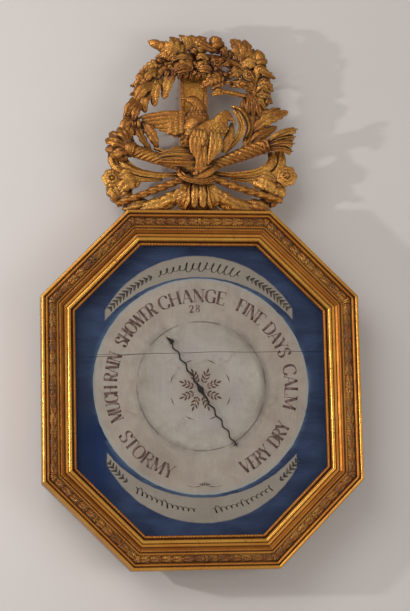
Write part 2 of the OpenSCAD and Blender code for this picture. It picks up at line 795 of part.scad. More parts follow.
// Loop of ribbon on the left; the other side is its mirror image
module ribbon_loop() {
    seat = trophy_back - relief_gap;
    stroke([-152, 106], [-150, 74], [-92, 68], [8, 9, 8], [13, 15, 14], 0, 5);
    stroke([-128, 94], [-120, 80], [-88, 74], [5, 7, 7], [12, 14, 13], 0.2, 4);
    stroke([-99, 67], [-60, 64], [-3, 72], [9, 8, 9], [14, 15, seat - 0.1], 0.1, 4);
}

module ribbon_left() crest() ribbon_loop();
module ribbon_right() crest() mirror([1, 0, 0]) ribbon_loop();

// Ends of the ribbon that hang between the dove and the right branch
module streamers()
    crest() {
        back = wreath_front - 1.7;
        stroke([72, 192], [106, 168], [86, 134], [5, 7, 5], [9, 12, 9], back, 4);
        stroke([64, 190], [88, 166], [70, 130], [5, 6, 4], [8, 11, 8], back, 4);
        stroke([88, 136], [78, 126], [62, 124], [5, 5, 4], [9, 11, 9], back, 3);
    }

// Acanthus shell that stands on the middle of the frame
module acanthus_shell()
    crest() on_frame() {
        for (i = [-3:3])
            leaf([i * 3, 46], -90 + i * 17, i * 4, 47 - abs(i) * 5.5, 10, 30 - 2 * abs(i), 0.1 * abs(i));
        stroke([0, 45], [0, 26], [0, 2], [4, 8, 6], [16, 38, 30], 0, 4);
        for (s = [-1, 1]) leaf([s * 8, 44], -90 + s * 56, s * 10, 25, 7, 16, 0);
    }

// Leaves and rosette at one lower corner, s = -1 for left
module spray(s, rosette, r)
    on_frame() {
        stroke([s * 40, 34], [s * 84, 6], [s * 140, 18], [7, 10, 6], [16, 18, 12], 0, 5, KEEL);
        stroke([s * 34, 10], [s * 76, 4], [s * 130, 6], [7, 9, 5], [15, 16, 10], 0.2, 4, KEEL);
        stroke([s * 104, 20], [s * 136, 24], rosette, [12, 16, 10], [15, 18, 12], 0, 4, KEEL);
        for (i = [0:3])
            leaf([s * (52 + 18 * i), 26 - 2 * i], s > 0 ? 20 + 8 * i : 160 - 8 * i, s * 8, 34, 7, 15, 0);
        for (i = [0:2])
            leaf([s * (66 + 18 * i), 20], s > 0 ? -24 : -156, s * -10, 36, 8, 17, 0);
        for (i = [0:5]) leaf(rosette, 60 * i, 20, r * 1.1, r * 0.5, 15, 0);
        bud(rosette, r * 0.55, 11);
    }

module spray_left() crest() spray(-1, [-156, 62], 15);
module spray_right() crest() spray(1, [164, 66], 17);

rail_top();
rail_top_right();
rail_right();
rail_bottom_right();
rail_bottom();
rail_bottom_left();
rail_left();
rail_top_left();
case_top();
case_top_right();
case_right();
case_bottom_right();
case_bottom();
case_bottom_left();
case_left();
case_top_left();
back_panel();
back_screws();
glass_pane();
glass_slips();
dial_board_upper();
dial_board_lower();
dial_battens();
batten_screws();
front_bush();
arbor();
hand();
hand_nut();
pulley();
cock();
cock_screws();
siphon_tube();
mercury_column();
mercury_low_limb();
float();
counterweight();
float_thread();
weight_thread();
tube_blocks();
tube_clamps();
clamp_screws();
tube_housing();
housing_cover();
cover_pins();
hanger_plate();
hanger_screws();
wreath_left();
wreath_right();
dove_left();
dove_right();
torch_and_quiver();
ribbon_left();
ribbon_right();
streamers();
acanthus_shell();
spray_left();
spray_right();
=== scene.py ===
"""Wheel barometer with an eight-sided carved and gilded frame: its finish, carving and painted dial.

The carving is worked out in millimetres, as x, height over the frame and depth from the wall, and turned into
metres at the end.
"""
import math

import bmesh
import bpy
import numpy as np
from mathutils import Matrix, Vector


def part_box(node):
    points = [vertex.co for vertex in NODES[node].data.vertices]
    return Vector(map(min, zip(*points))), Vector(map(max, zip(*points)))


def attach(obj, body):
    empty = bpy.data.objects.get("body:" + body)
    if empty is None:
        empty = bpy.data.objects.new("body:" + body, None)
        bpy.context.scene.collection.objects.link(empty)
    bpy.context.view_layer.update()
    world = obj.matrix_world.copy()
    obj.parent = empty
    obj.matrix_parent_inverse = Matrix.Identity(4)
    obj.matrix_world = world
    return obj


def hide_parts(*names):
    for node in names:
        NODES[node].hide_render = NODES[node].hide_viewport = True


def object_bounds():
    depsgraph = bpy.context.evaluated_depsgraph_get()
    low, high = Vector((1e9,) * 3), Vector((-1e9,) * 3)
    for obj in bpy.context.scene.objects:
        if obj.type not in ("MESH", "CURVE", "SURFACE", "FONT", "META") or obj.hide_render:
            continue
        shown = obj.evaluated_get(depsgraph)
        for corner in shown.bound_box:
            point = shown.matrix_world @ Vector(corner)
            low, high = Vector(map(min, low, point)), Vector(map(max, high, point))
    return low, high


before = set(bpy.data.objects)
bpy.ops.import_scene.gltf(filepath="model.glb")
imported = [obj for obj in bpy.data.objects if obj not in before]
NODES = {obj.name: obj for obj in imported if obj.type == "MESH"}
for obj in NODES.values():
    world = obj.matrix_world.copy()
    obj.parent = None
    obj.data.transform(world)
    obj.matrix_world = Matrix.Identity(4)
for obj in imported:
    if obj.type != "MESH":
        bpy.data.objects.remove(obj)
CAD_BOX = [list(corner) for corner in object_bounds()]
MM = 0.001
CASE = "case_and_frame"
rng = np.random.default_rng(7)


def edge(node, high, axis):
    """One side of a node's box, in millimetres."""
    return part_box(node)[high][axis] / MM


# Places taken from the frame, in millimetres
FRAME_TOP = edge("rail_top", 1, 2)
FRAME_SIDE = edge("rail_right", 1, 0)
RAIL_FRONT = -edge("rail_left", 0, 1)
RAIL_W = FRAME_SIDE - edge("rail_right", 0, 0)
DIAL_FRONT = -edge("dial_board_lower", 0, 1)
CREST_BACK = -edge("wreath_left", 1, 1)
CREST_TOP = CAD_BOX[1][2] / MM - FRAME_TOP
CREST_FRONT = -CAD_BOX[0][1] / MM
# The crest's outermost millimetres at its top and front are pressed together by this share
SQUEEZE_FROM, SQUEEZE = 9, 0.55


# Colour and material


def srgb(red, green, blue):
    """Linear colour of a screen colour from 0 to 255."""
    parts = [v / 255 for v in (red, green, blue)]
    return [v / 12.92 if v <= 0.04045 else ((v + 0.055) / 1.055) ** 2.4 for v in parts] + [1.0]


class Paint:
    """A node material while it is being put together."""

    def __init__(self, name):
        self.material = bpy.data.materials.new(name)
        self.material.use_nodes = True
        self.tree = self.material.node_tree
        self.tree.nodes.clear()
        self.shader = self.tree.nodes.new("ShaderNodeBsdfPrincipled")
        self.surface = self.tree.nodes.new("ShaderNodeOutputMaterial").inputs["Surface"]
        self.tree.links.new(self.shader.outputs[0], self.surface)
        self.place = self.tree.nodes.new("ShaderNodeTexCoord").outputs["Object"]

    def put(self, socket, value):
        if isinstance(value, bpy.types.NodeSocket):
            self.tree.links.new(value, socket)
        elif value is not None:
            socket.default_value = value

    def add(self, kind, inputs=(), out=0, **settings):
        node = self.tree.nodes.new("ShaderNode" + kind)
        for key, value in settings.items():
            setattr(node, key, value)
        for key, value in dict(inputs).items():
            self.put(node.inputs[key], value)
        return node.outputs[out]

    def set(self, **values):
        for key, value in values.items():
            self.put(self.shader.inputs[key.replace("_", " ")], value)
        return self

    def math(self, operation, a, b=None, c=None):
        return self.add("Math", {0: a, 1: b, 2: c}, operation=operation)

    def plus(self, a, b):
        return self.math("ADD", a, b)

    def minus(self, a, b):
        return self.math("SUBTRACT", a, b)

    def times(self, a, b, plus=None):
        return self.math("MULTIPLY" if plus is None else "MULTIPLY_ADD", a, b, plus)

    def range(self, value, low, high, to_low=0.0, to_high=1.0, smooth=True):
        kind = "SMOOTHSTEP" if smooth else "LINEAR"
        inputs = {0: value, 1: low, 2: high, 3: to_low, 4: to_high}
        return self.add("MapRange", inputs, interpolation_type=kind, clamp=True)

    def noise(self, scale, detail=4.0, rough=0.6, stretch=None, twist=0.0):
        place = self.place
        if stretch:
            place = self.add("Mapping", {"Vector": place, "Scale": stretch})
        inputs = {"Vector": place, "Scale": scale, "Detail": detail, "Roughness": rough, "Distortion": twist}
        return self.add("TexNoise", inputs)

    def mix(self, share, a, b, blend="MIX"):
        node = self.tree.nodes.new("ShaderNodeMix")
        node.data_type, node.blend_type = "RGBA", blend
        for key, value in ((0, share), (6, a), (7, b)):
            self.put(node.inputs[key], value)
        return node.outputs[2]

    def ramp(self, value, *stops):
        node = self.tree.nodes.new("ShaderNodeValToRGB")
        while len(node.color_ramp.elements) < len(stops):
            node.color_ramp.elements.new(0.5)
        for element, (place, colour) in zip(node.color_ramp.elements, stops):
            element.position, element.color = place, colour
        self.put(node.inputs[0], value)
        return node.outputs[0]

    def bump(self, height, strength, distance, under=None):
        inputs = {"Height": height, "Strength": strength, "Distance": distance, "Normal": under}
        return self.add("Bump", {k: v for k, v in inputs.items() if v is not None})

    def hollow(self, distance):
        """0 in a deep recess and 1 on an open surface."""
        return self.add("AmbientOcclusion", {"Distance": distance}, out=1, samples=6)

    def axes(self):
        split = self.tree.nodes.new("ShaderNodeSeparateXYZ")
        self.put(split.inputs[0], self.place)
        return split.outputs

    def blend(self, share, a, b):
        """Makes the surface shader a, with shader b by the share."""
        node = self.tree.nodes.new("ShaderNodeMixShader")
        for key, value in ((0, share), (1, a), (2, b)):
            self.put(node.inputs[key], value)
        self.put(self.surface, node.outputs[0])


def gilding(name, light, dark, rough, grime_and_shade_level, worn, hollow_size):
    """Water gilding over red bole: darkened in the recesses by painted shade with some grime, rubbed through
    to the bole in places.
    """
    p = Paint(name)
    cloud = p.noise(22.0, 5.0, 0.6)
    fine = p.noise(260.0, 4.0, 0.65)
    gold = p.ramp(p.times(fine, 0.35, p.times(cloud, 0.65)), (0.32, dark), (0.62, light))
    yellower = p.mix(0.45, light, srgb(176, 142, 62))
    gold = p.mix(p.range(p.noise(17.0, 3.0, 0.6, twist=0.4), 0.48, 0.66, 0.0, 0.6), gold, yellower)
    recess = p.hollow(hollow_size)
    # painted shade with some grime: occlusion in the recesses, with cloudy patches, turns the gold dark brown
    # and less metallic
    grime_and_shade = p.times(cloud, 0.35, p.times(recess, 0.9))
    bole = srgb(112, 52, 26)
    rubbed = p.range(p.times(fine, 0.4, p.noise(60.0, 6.0, 0.7, twist=0.6)), worn, worn + 0.07)
    colour = p.mix(p.times(rubbed, 0.75), gold, bole)
    colour = p.mix(p.range(grime_and_shade, grime_and_shade_level, grime_and_shade_level + 0.42, 1.0, 0.0), colour, srgb(62, 30, 12))
    metal = p.times(p.range(grime_and_shade, grime_and_shade_level, grime_and_shade_level + 0.4, 0.25, 0.82), p.range(rubbed, 0.0, 1.0, 1.0, 0.3))
    gloss = p.plus(p.range(fine, 0.3, 0.7, rough - 0.07, rough + 0.09), p.range(recess, 0.2, 0.9, 0.25, 0.0))
    grain = p.bump(p.noise(900.0, 3.0, 0.6), 0.25, 0.0004)
    chisel = p.add("TexVoronoi", {"Vector": p.place, "Scale": 210.0, "Randomness": 1.0}, feature="SMOOTH_F1")
    cuts = p.bump(chisel, 0.45, 0.0016, grain)
    uneven = p.bump(p.noise(150.0, 6.0, 0.68), 0.85, 0.0018, cuts)
    return p.set(Base_Color=colour, Metallic=metal, Roughness=gloss, Normal=uneven).material


# How bright the gold is across a rail, with painted highlight on the rounds and painted shade in the hollows
# and under the band: distance in from the outer edge, in sixtieths of its width, and share
BURNISH_AND_HIGHLIGHT = (
    (0.0, 0.7), (5.4, 0.74), (6.2, 0.4), (9.4, 0.5), (12.2, 0.25), (13.2, 0.02), (24.4, 0.02),
    (26.2, 0.5), (29.2, 0.55), (30.0, 0.18), (35.5, 0.3), (37.0, 0.34), (40.5, 0.5), (42.0, 0.55),
    (44.6, 0.5), (46.0, 0.8), (51.5, 0.85), (53.0, 0.2), (55.5, 0.35), (60.0, 0.35),
)


def moulding():
    """Gilding of the rails: burnished and lighter with a painted highlight on the rounds, matt and browner
    with painted shade in the hollows and under the band.
    """
    p = Paint("gilt_moulding")
    x, _, z = p.axes()
    x, z = p.math("ABSOLUTE", x), p.math("ABSOLUTE", z)
    slant = (FRAME_SIDE + FRAME_TOP - (FRAME_SIDE - edge("rail_top", 1, 0))) * math.sqrt(0.5) * MM
    level = p.math("MINIMUM", p.minus(FRAME_SIDE * MM, x), p.minus(FRAME_TOP * MM, z))
    leaning = p.minus(slant, p.times(p.plus(x, z), math.sqrt(0.5)))
    inset = p.math("DIVIDE", p.math("MINIMUM", level, leaning), RAIL_W * MM)
    bands = p.tree.nodes.new("ShaderNodeFloatCurve")
    curve = bands.mapping.curves[0]
    for place, value in BURNISH_AND_HIGHLIGHT[1:-1]:
        curve.points.new(place / BURNISH_AND_HIGHLIGHT[-1][0], value)
    for end, place in ((0, 0.0), (-1, 1.0)):
        curve.points[end].location = (place, BURNISH_AND_HIGHLIGHT[end][1])
    for point in curve.points:
        point.handle_type = "VECTOR"
    bands.mapping.update()
    p.put(bands.inputs["Value"], inset)
    burnish_and_highlight = bands.outputs[0]
    cloud = p.noise(16.0, 6.0, 0.65)
    fine = p.noise(260.0, 4.0, 0.65)
    burnish_and_highlight = p.plus(burnish_and_highlight, p.range(cloud, 0.3, 0.7, -0.14, 0.14, False))
    # painted highlight and shade: the burnish value picks colours from dark brown to pale yellow gold
    stops = ((0.0, (126, 66, 22)), (0.4, (186, 116, 44)), (0.8, (222, 162, 72)), (1.0, (236, 190, 92)))
    gold = p.ramp(burnish_and_highlight, *((place, srgb(*colour)) for place, colour in stops))
    gold = p.mix(p.range(fine, 0.45, 0.7, 0.0, 0.3), gold, srgb(150, 96, 46))
    rubbed = p.range(p.times(fine, 0.4, p.noise(48.0, 6.0, 0.7, twist=0.6)), 0.8, 0.88)
    gold = p.mix(p.times(rubbed, 0.7), gold, srgb(108, 48, 24))
    # painted shade with some grime: occlusion in the recesses, with cloudy patches, turns the gold dark brown
    # and less metallic
    recess = p.times(cloud, 0.3, p.times(p.hollow(0.006), 0.9))
    gold = p.mix(p.range(recess, 0.45, 0.9, 1.0, 0.0), gold, srgb(66, 30, 10))
    metal = p.times(p.range(recess, 0.45, 0.85, 0.3, 0.85), p.range(rubbed, 0.0, 1.0, 1.0, 0.35))
    rough = p.plus(p.range(burnish_and_highlight, 0.0, 1.0, 0.52, 0.2, False), p.range(fine, 0.3, 0.7, -0.05, 0.09))
    grain = p.bump(p.noise(700.0, 3.0, 0.6), 0.2, 0.0004)
    uneven = p.bump(p.noise(90.0, 5.0, 0.6), 0.45, 0.0012, grain)
    return p.set(Base_Color=gold, Metallic=metal, Roughness=rough, Normal=uneven).material


def timber(name, light, dark, along):
    """Old bare wood, with the grain along one axis and painted shade in its recesses."""
    p = Paint(name)
    stretch = [9.0, 9.0, 9.0]
    stretch[along] = 0.55
    rings = p.noise(14.0, 6.0, 0.62, stretch, 1.2)
    pores = p.noise(60.0, 4.0, 0.7, stretch)
    stain = p.noise(7.0, 4.0, 0.6)
    colour = p.ramp(p.times(pores, 0.35, p.times(rings, 0.7)), (0.36, dark), (0.66, light))
    colour = p.mix(p.range(stain, 0.35, 0.75, 0.0, 0.55), colour, srgb(58, 44, 32))
    # painted shade: occlusion turns the wood near black in the recesses
    colour = p.mix(p.range(p.hollow(0.02), 0.25, 0.9, 0.6, 0.0), colour, srgb(35, 26, 19))
    normal = p.bump(pores, 0.35, 0.0008, p.bump(rings, 0.3, 0.0015))
    uneven = p.range(pores, 0.3, 0.7, 0.6, 0.82)
    return p.set(Base_Color=colour, Roughness=uneven, Normal=normal).material


def metal(name, light, dark, rough, spots, spot_size=70.0):
    """Aged metal with dull spots."""
    p = Paint(name)
    patina = p.noise(spot_size, 6.0, 0.7)
    scratches = p.noise(300.0, 3.0, 0.6, [1.0, 1.0, 8.0])
    colour = p.ramp(scratches, (0.3, dark), (0.7, light))
    dull = p.range(patina, 0.5, 0.68)
    colour = p.mix(p.times(dull, 0.8), colour, spots)
    gloss = p.plus(p.range(dull, 0.0, 1.0, rough, rough + 0.3), p.range(scratches, 0.3, 0.7, -0.05, 0.05))
    p.set(Base_Color=colour, Roughness=gloss, Metallic=p.range(dull, 0.0, 1.0, 1.0, 0.45))
    return p.set(Normal=p.bump(patina, 0.3, 0.0006)).material


MOULDING = moulding()
PEARLS = gilding("gilt_pearls", srgb(190, 132, 62), srgb(150, 94, 42), 0.38, 0.6, 0.84, 0.004)
CARVING = gilding("gilt_carving", srgb(188, 128, 58), srgb(138, 82, 34), 0.29, 0.66, 0.80, 0.012)
BRIGHT_CARVING = gilding("gilt_bright", srgb(206, 148, 70), srgb(154, 98, 42), 0.28, 0.64, 0.82, 0.010)
PANEL = gilding("gilt_panel", srgb(196, 138, 62), srgb(160, 104, 40), 0.42, 0.42, 0.84, 0.008)
BAND = gilding("gilt_band", srgb(216, 150, 62), srgb(126, 70, 24), 0.32, 0.84, 0.84, 0.004)
CASE_WOOD = timber("case_wood", srgb(134, 104, 74), srgb(84, 60, 40), 0)
CASE_WOOD_TALL = timber("case_wood_tall", srgb(134, 104, 74), srgb(84, 60, 40), 2)
IRON = metal("forged_iron", srgb(92, 88, 84), srgb(52, 49, 47), 0.5, srgb(96, 56, 36))
BRASS = metal("aged_brass", srgb(196, 160, 92), srgb(150, 116, 60), 0.32, srgb(96, 72, 40))
STEEL = metal("blued_steel", srgb(78, 72, 74), srgb(44, 40, 42), 0.42, srgb(74, 54, 42), 160.0)


# Painted dial. A circle is the x and height of its centre and its radius, in millimetres.

DISC = (2.0, 7.0, 191.0)
RING_R = 114.0
UPPER_LABEL = ((2.0, 45.6, 193.0), (2.0, -19.5, 220.4))
LOWER_LABEL = ((3.0, -42.0, 190.5), (3.0, 29.7, 218.7))
LABEL_HALF = 167.0
CREAM = srgb(173, 164, 154)
BLUE = srgb(42, 57, 90)


def dial_paint():
    """Blue ground with a cream disc and two crescent labels, worn and stained."""
    p = Paint("dial_paint")
    x, _, z = p.axes()
    wobble = p.times(p.noise(70.0, 3.0, 0.6), 0.0030, -0.0015)

    def inside(circle, soft):
        """1 inside a circle given in millimetres."""
        cx, cz, r = (v * MM for v in circle)
        dx = p.minus(x, cx)
        dz = p.minus(z, cz)
        away = p.plus(p.math("SQRT", p.plus(p.times(dx, dx), p.times(dz, dz))), wobble)
        return p.range(away, r - soft * MM, r + soft * MM, 1.0, 0.0), away

    disc, away = inside(DISC, 0.7)
    labels = []
    for outer, inner in (UPPER_LABEL, LOWER_LABEL):
        whole, _ = inside(outer, 1.4)
        cut, _ = inside(inner, 0.8)
        labels.append(p.times(whole, p.minus(1.0, cut)))
    label = p.math("MAXIMUM", labels[0], labels[1])
    across = p.plus(p.math("ABSOLUTE", p.minus(x, 0.001)), wobble)
    label = p.times(label, p.range(across, (LABEL_HALF - 1.5) * MM, (LABEL_HALF + 1.5) * MM, 1.0, 0.0))
    pale = p.math("MAXIMUM", disc, label)

    stroke = p.noise(9.0, 6.0, 0.65, [1.0, 1.0, 3.5], 0.8)
    speck = p.noise(240.0, 5.0, 0.7)
    stain = p.noise(16.0, 6.0, 0.62, twist=0.5)
    grid = p.noise(150.0, 3.0, 0.5, [6.0, 1.0, 0.6])
    blue = p.ramp(stroke, (0.30, srgb(29, 42, 72)), (0.5, BLUE), (0.72, srgb(56, 75, 110)))
    blue = p.mix(p.range(speck, 0.58, 0.75, 0.0, 0.5), blue, srgb(34, 38, 52))
    # painted reflection: the rest of the blue ground stays lighter, as a reflection on the glass, and the
    # lower left is deeper where there is none
    deep = p.times(p.range(x, -0.185, -0.130, 1.0, 0.0), p.range(z, -0.075, -0.020, 1.0, 0.0))
    blue = p.mix(p.times(deep, 0.9), blue, srgb(6, 38, 84))
    cream = p.ramp(stain, (0.3, srgb(152, 142, 131)), (0.5, CREAM), (0.7, srgb(190, 182, 172)))
    cream = p.mix(p.range(grid, 0.35, 0.7, 0.0, 0.22), cream, srgb(148, 137, 128))
    cream = p.mix(p.range(speck, 0.55, 0.8, 0.0, 0.4), cream, srgb(126, 110, 98))
    brush = p.noise(46.0, 4.0, 0.6, [3.2, 1.0, 0.3])
    cream = p.mix(p.range(brush, 0.5, 0.72, 0.0, 0.3), cream, srgb(192, 186, 180))
    outer = p.times(p.range(away, 0.108, 0.135), p.range(p.noise(8.0, 4.0), 0.3, 0.6, 0.3, 0.9))
    cream = p.mix(p.times(outer, 0.45), cream, srgb(162, 145, 131))
    cream = p.mix(p.times(p.range(away, 0.07, 0.11, 1.0, 0.0), 0.45), cream, srgb(184, 181, 180))
    cream = p.mix(p.times(p.range(away, 0.018, 0.066, 1.0, 0.0), 0.35), cream, srgb(140, 118, 98))
    blots = p.range(p.noise(34.0, 5.0, 0.7, twist=0.8), 0.56, 0.72, 0.0, 0.45)
    cream = p.mix(blots, cream, srgb(132, 118, 108))
    rim = p.times(disc, p.range(away, (DISC[2] - 7) * MM, (DISC[2] - 1) * MM))
    cream = p.mix(p.times(rim, 0.6), cream, srgb(152, 162, 166))
    cream = p.mix(p.times(label, 0.5), cream, srgb(130, 124, 116))
    ring = p.math("ABSOLUTE", p.minus(away, RING_R * MM))
    smudge = p.times(p.range(ring, 0.001, 0.013, 1.0, 0.0), p.range(p.noise(11.0, 5.0), 0.36, 0.6))
    cream = p.mix(p.times(smudge, 0.6), cream, srgb(116, 106, 100))
    line = p.times(p.range(ring, 0.0004, 0.0022, 1.0, 0.0), p.range(p.noise(26.0, 4.0), 0.34, 0.58))
    cream = p.mix(p.times(line, 0.7), cream, srgb(88, 74, 68))
    halo = p.times(p.range(away, DISC[2] * MM, (DISC[2] + 9) * MM, 1.0, 0.0), p.range(stroke, 0.35, 0.6))
    blue = p.mix(p.times(halo, 0.5), blue, srgb(92, 116, 142))
    colour = p.mix(pale, blue, cream)
    cracks = p.add("TexVoronoi", {"Vector": p.place, "Scale": 95.0}, feature="DISTANCE_TO_EDGE")
    crazing = p.range(cracks, 0.0, 0.012, 0.22, 0.0)
    colour = p.mix(crazing, colour, srgb(50, 42, 36))
    p.set(Base_Color=colour, Roughness=p.range(stain, 0.3, 0.7, 0.5, 0.66), Specular_IOR_Level=0.2)
    return p.set(Normal=p.bump(stroke, 0.3, 0.0006, p.bump(speck, 0.25, 0.0003))).material


def ink(name, strong, faint, wear):
    """Brown paint of the lettering, thin in places."""
    p = Paint(name)
    rub = p.noise(120.0, 5.0, 0.7)
    colour = p.mix(p.range(rub, wear, wear + 0.22), strong, faint)
    return p.set(Base_Color=colour, Roughness=0.62, Normal=p.bump(rub, 0.2, 0.0002)).material


def window_pane():
    """Thin clear pane: it lets light straight through and shows a faint reflection."""
    p = Paint("window_glass")
    smear = p.range(p.noise(9.0, 4.0, 0.6), 0.45, 0.75, 0.001, 0.006)
    clear = p.add("BsdfTransparent", {"Color": srgb(251, 251, 250)})
    gloss = p.add("BsdfGlossy", {"Roughness": 0.03, "Normal": p.bump(p.noise(6.0, 2.0), 0.1, 0.002)})
    edge_on = p.add("Fresnel", {"IOR": 1.35})
    p.blend(p.plus(smear, p.times(edge_on, 0.2)), clear, gloss)
    p.tree.nodes.remove(p.shader)
    return p.material


def tube_glass():
    p = Paint("tube_glass")
    specks = p.range(p.noise(400.0, 3.0, 0.6), 0.72, 0.8, 0.0, 0.05)
    p.set(Roughness=p.plus(specks, 0.02), Normal=p.bump(p.noise(6.0, 2.0), 0.12, 0.002))
    return p.set(Base_Color=srgb(232, 244, 240), Transmission_Weight=1.0, IOR=1.46).material


def streaked(name, scale, detail, rough, dark, light, gloss, relief):
    """Silk or bone, streaked along its length."""
    p = Paint(name)
    streak = p.noise(scale, detail, rough, [1.0, 1.0, 0.3])
    colour = p.ramp(streak, (0.3, dark), (0.7, light))
    return p.set(Base_Color=colour, Roughness=gloss, Normal=p.bump(streak, relief, 0.0002)).material


def quicksilver():
    p = Paint("quicksilver")
    film = p.noise(90.0, 3.0)
    colour = p.ramp(film, (0.3, srgb(196, 198, 202)), (0.7, srgb(226, 228, 230)))
    return p.set(Base_Color=colour, Metallic=1.0, Roughness=p.range(film, 0.3, 0.7, 0.06, 0.14)).material


INK = ink("lettering_brown", srgb(90, 62, 55), srgb(146, 126, 114), 0.45)
SPRIG = ink("sprig_ochre", srgb(88, 54, 36), srgb(136, 110, 90), 0.48)
GREY_INK = ink("sprig_grey", srgb(62, 56, 48), srgb(116, 106, 94), 0.5)
SLIP = ink("slip_blue", srgb(34, 48, 78), srgb(52, 66, 92), 0.5)
SILK = streaked("silk_thread", 1500.0, 2.0, 0.5, srgb(176, 158, 126), srgb(222, 208, 180), 0.7, 0.4)
BONE = streaked("float_bone", 120.0, 4.0, 0.6, srgb(206, 192, 160), srgb(232, 222, 198), 0.42, 0.2)

# Each finish, and how the names of the nodes that have it start
FINISHES = (
    (MOULDING, "rail_"),
    (CARVING, "tube_housing"),
    (PANEL, "housing_cover"),
    (CASE_WOOD, "case_ tube_blocks"),
    (CASE_WOOD_TALL, "case_left case_right back_panel dial_battens"),
    (IRON, "back_screws batten_screws cock_screws clamp_screws hanger_"),
    (BRASS, "front_bush pulley cock counterweight tube_clamps cover_pins"),
    (STEEL, "arbor hand"),
    (window_pane(), "glass_pane"),
    (SLIP, "glass_slips"),
    (dial_paint(), "dial_board"),
    (tube_glass(), "siphon_tube"),
    (quicksilver(), "mercury_"),
    (BONE, "float"),
    (SILK, "float_thread weight_thread"),
)


def finish_cad_nodes():
    """Gives each node the finish with the longest start of its name, and a carved one the carving's."""
    starts = {start: finish for finish, names in FINISHES for start in names.split()}
    for name, node in NODES.items():
        keys = [start for start in starts if name.startswith(start)]
        node.data.materials.clear()
        node.data.materials.append(starts[max(keys, key=len)] if keys else CARVING)


finish_cad_nodes()


# Carving tools


def unit(v):
    return v / np.maximum(np.linalg.norm(v, axis=-1, keepdims=True), 1e-9)


def smooth_line(points, count):
    """Points along a smooth line through the given ones."""
    pts = np.array(points, float)
    if len(pts) == 2:
        t = np.linspace(0, 1, count)[:, None]
        return pts[0] * (1 - t) + pts[1] * t
    pts = np.vstack([2 * pts[0] - pts[1], pts, 2 * pts[-1] - pts[-2]])
    spans = len(pts) - 3
    u = np.linspace(0, spans - 1e-9, count)
    k = u.astype(int)
    t = (u - k)[:, None]
    a, b, c, d = (pts[k + i] for i in range(4))
    return 0.5 * (2 * b + (c - a) * t + (2 * a - 5 * b + 4 * c - d) * t**2 + (3 * b - a - 3 * c + d) * t**3)


def along(values, count):
    """A value that changes evenly from entry to entry."""
    values = np.atleast_1d(np.array(values, float))
    return np.interp(np.linspace(0, 1, count), np.linspace(0, 1, len(values)), values)


def directions(line, bank=0.0):
    """Side and outward directions along a line of x, height and depth, turned about the line by the bank."""
    ahead = unit(np.gradient(line, axis=0))
    side = unit(np.cross(ahead, np.array([0.0, 0.0, 1.0])) * -1)
    out = unit(np.cross(ahead, side))
    out *= np.where(out[:, 2:] < 0, -1, 1)
    turn = np.radians(along(bank, len(line)))[:, None]
    return side * np.cos(turn) + out * np.sin(turn), out * np.cos(turn) - side * np.sin(turn)


def number(text):
    """Number of a table, or list of numbers with strokes between them."""
    if "/" in text:
        return [number(v) for v in text.split("/")]
    return float(text) if "." in text else int(text)


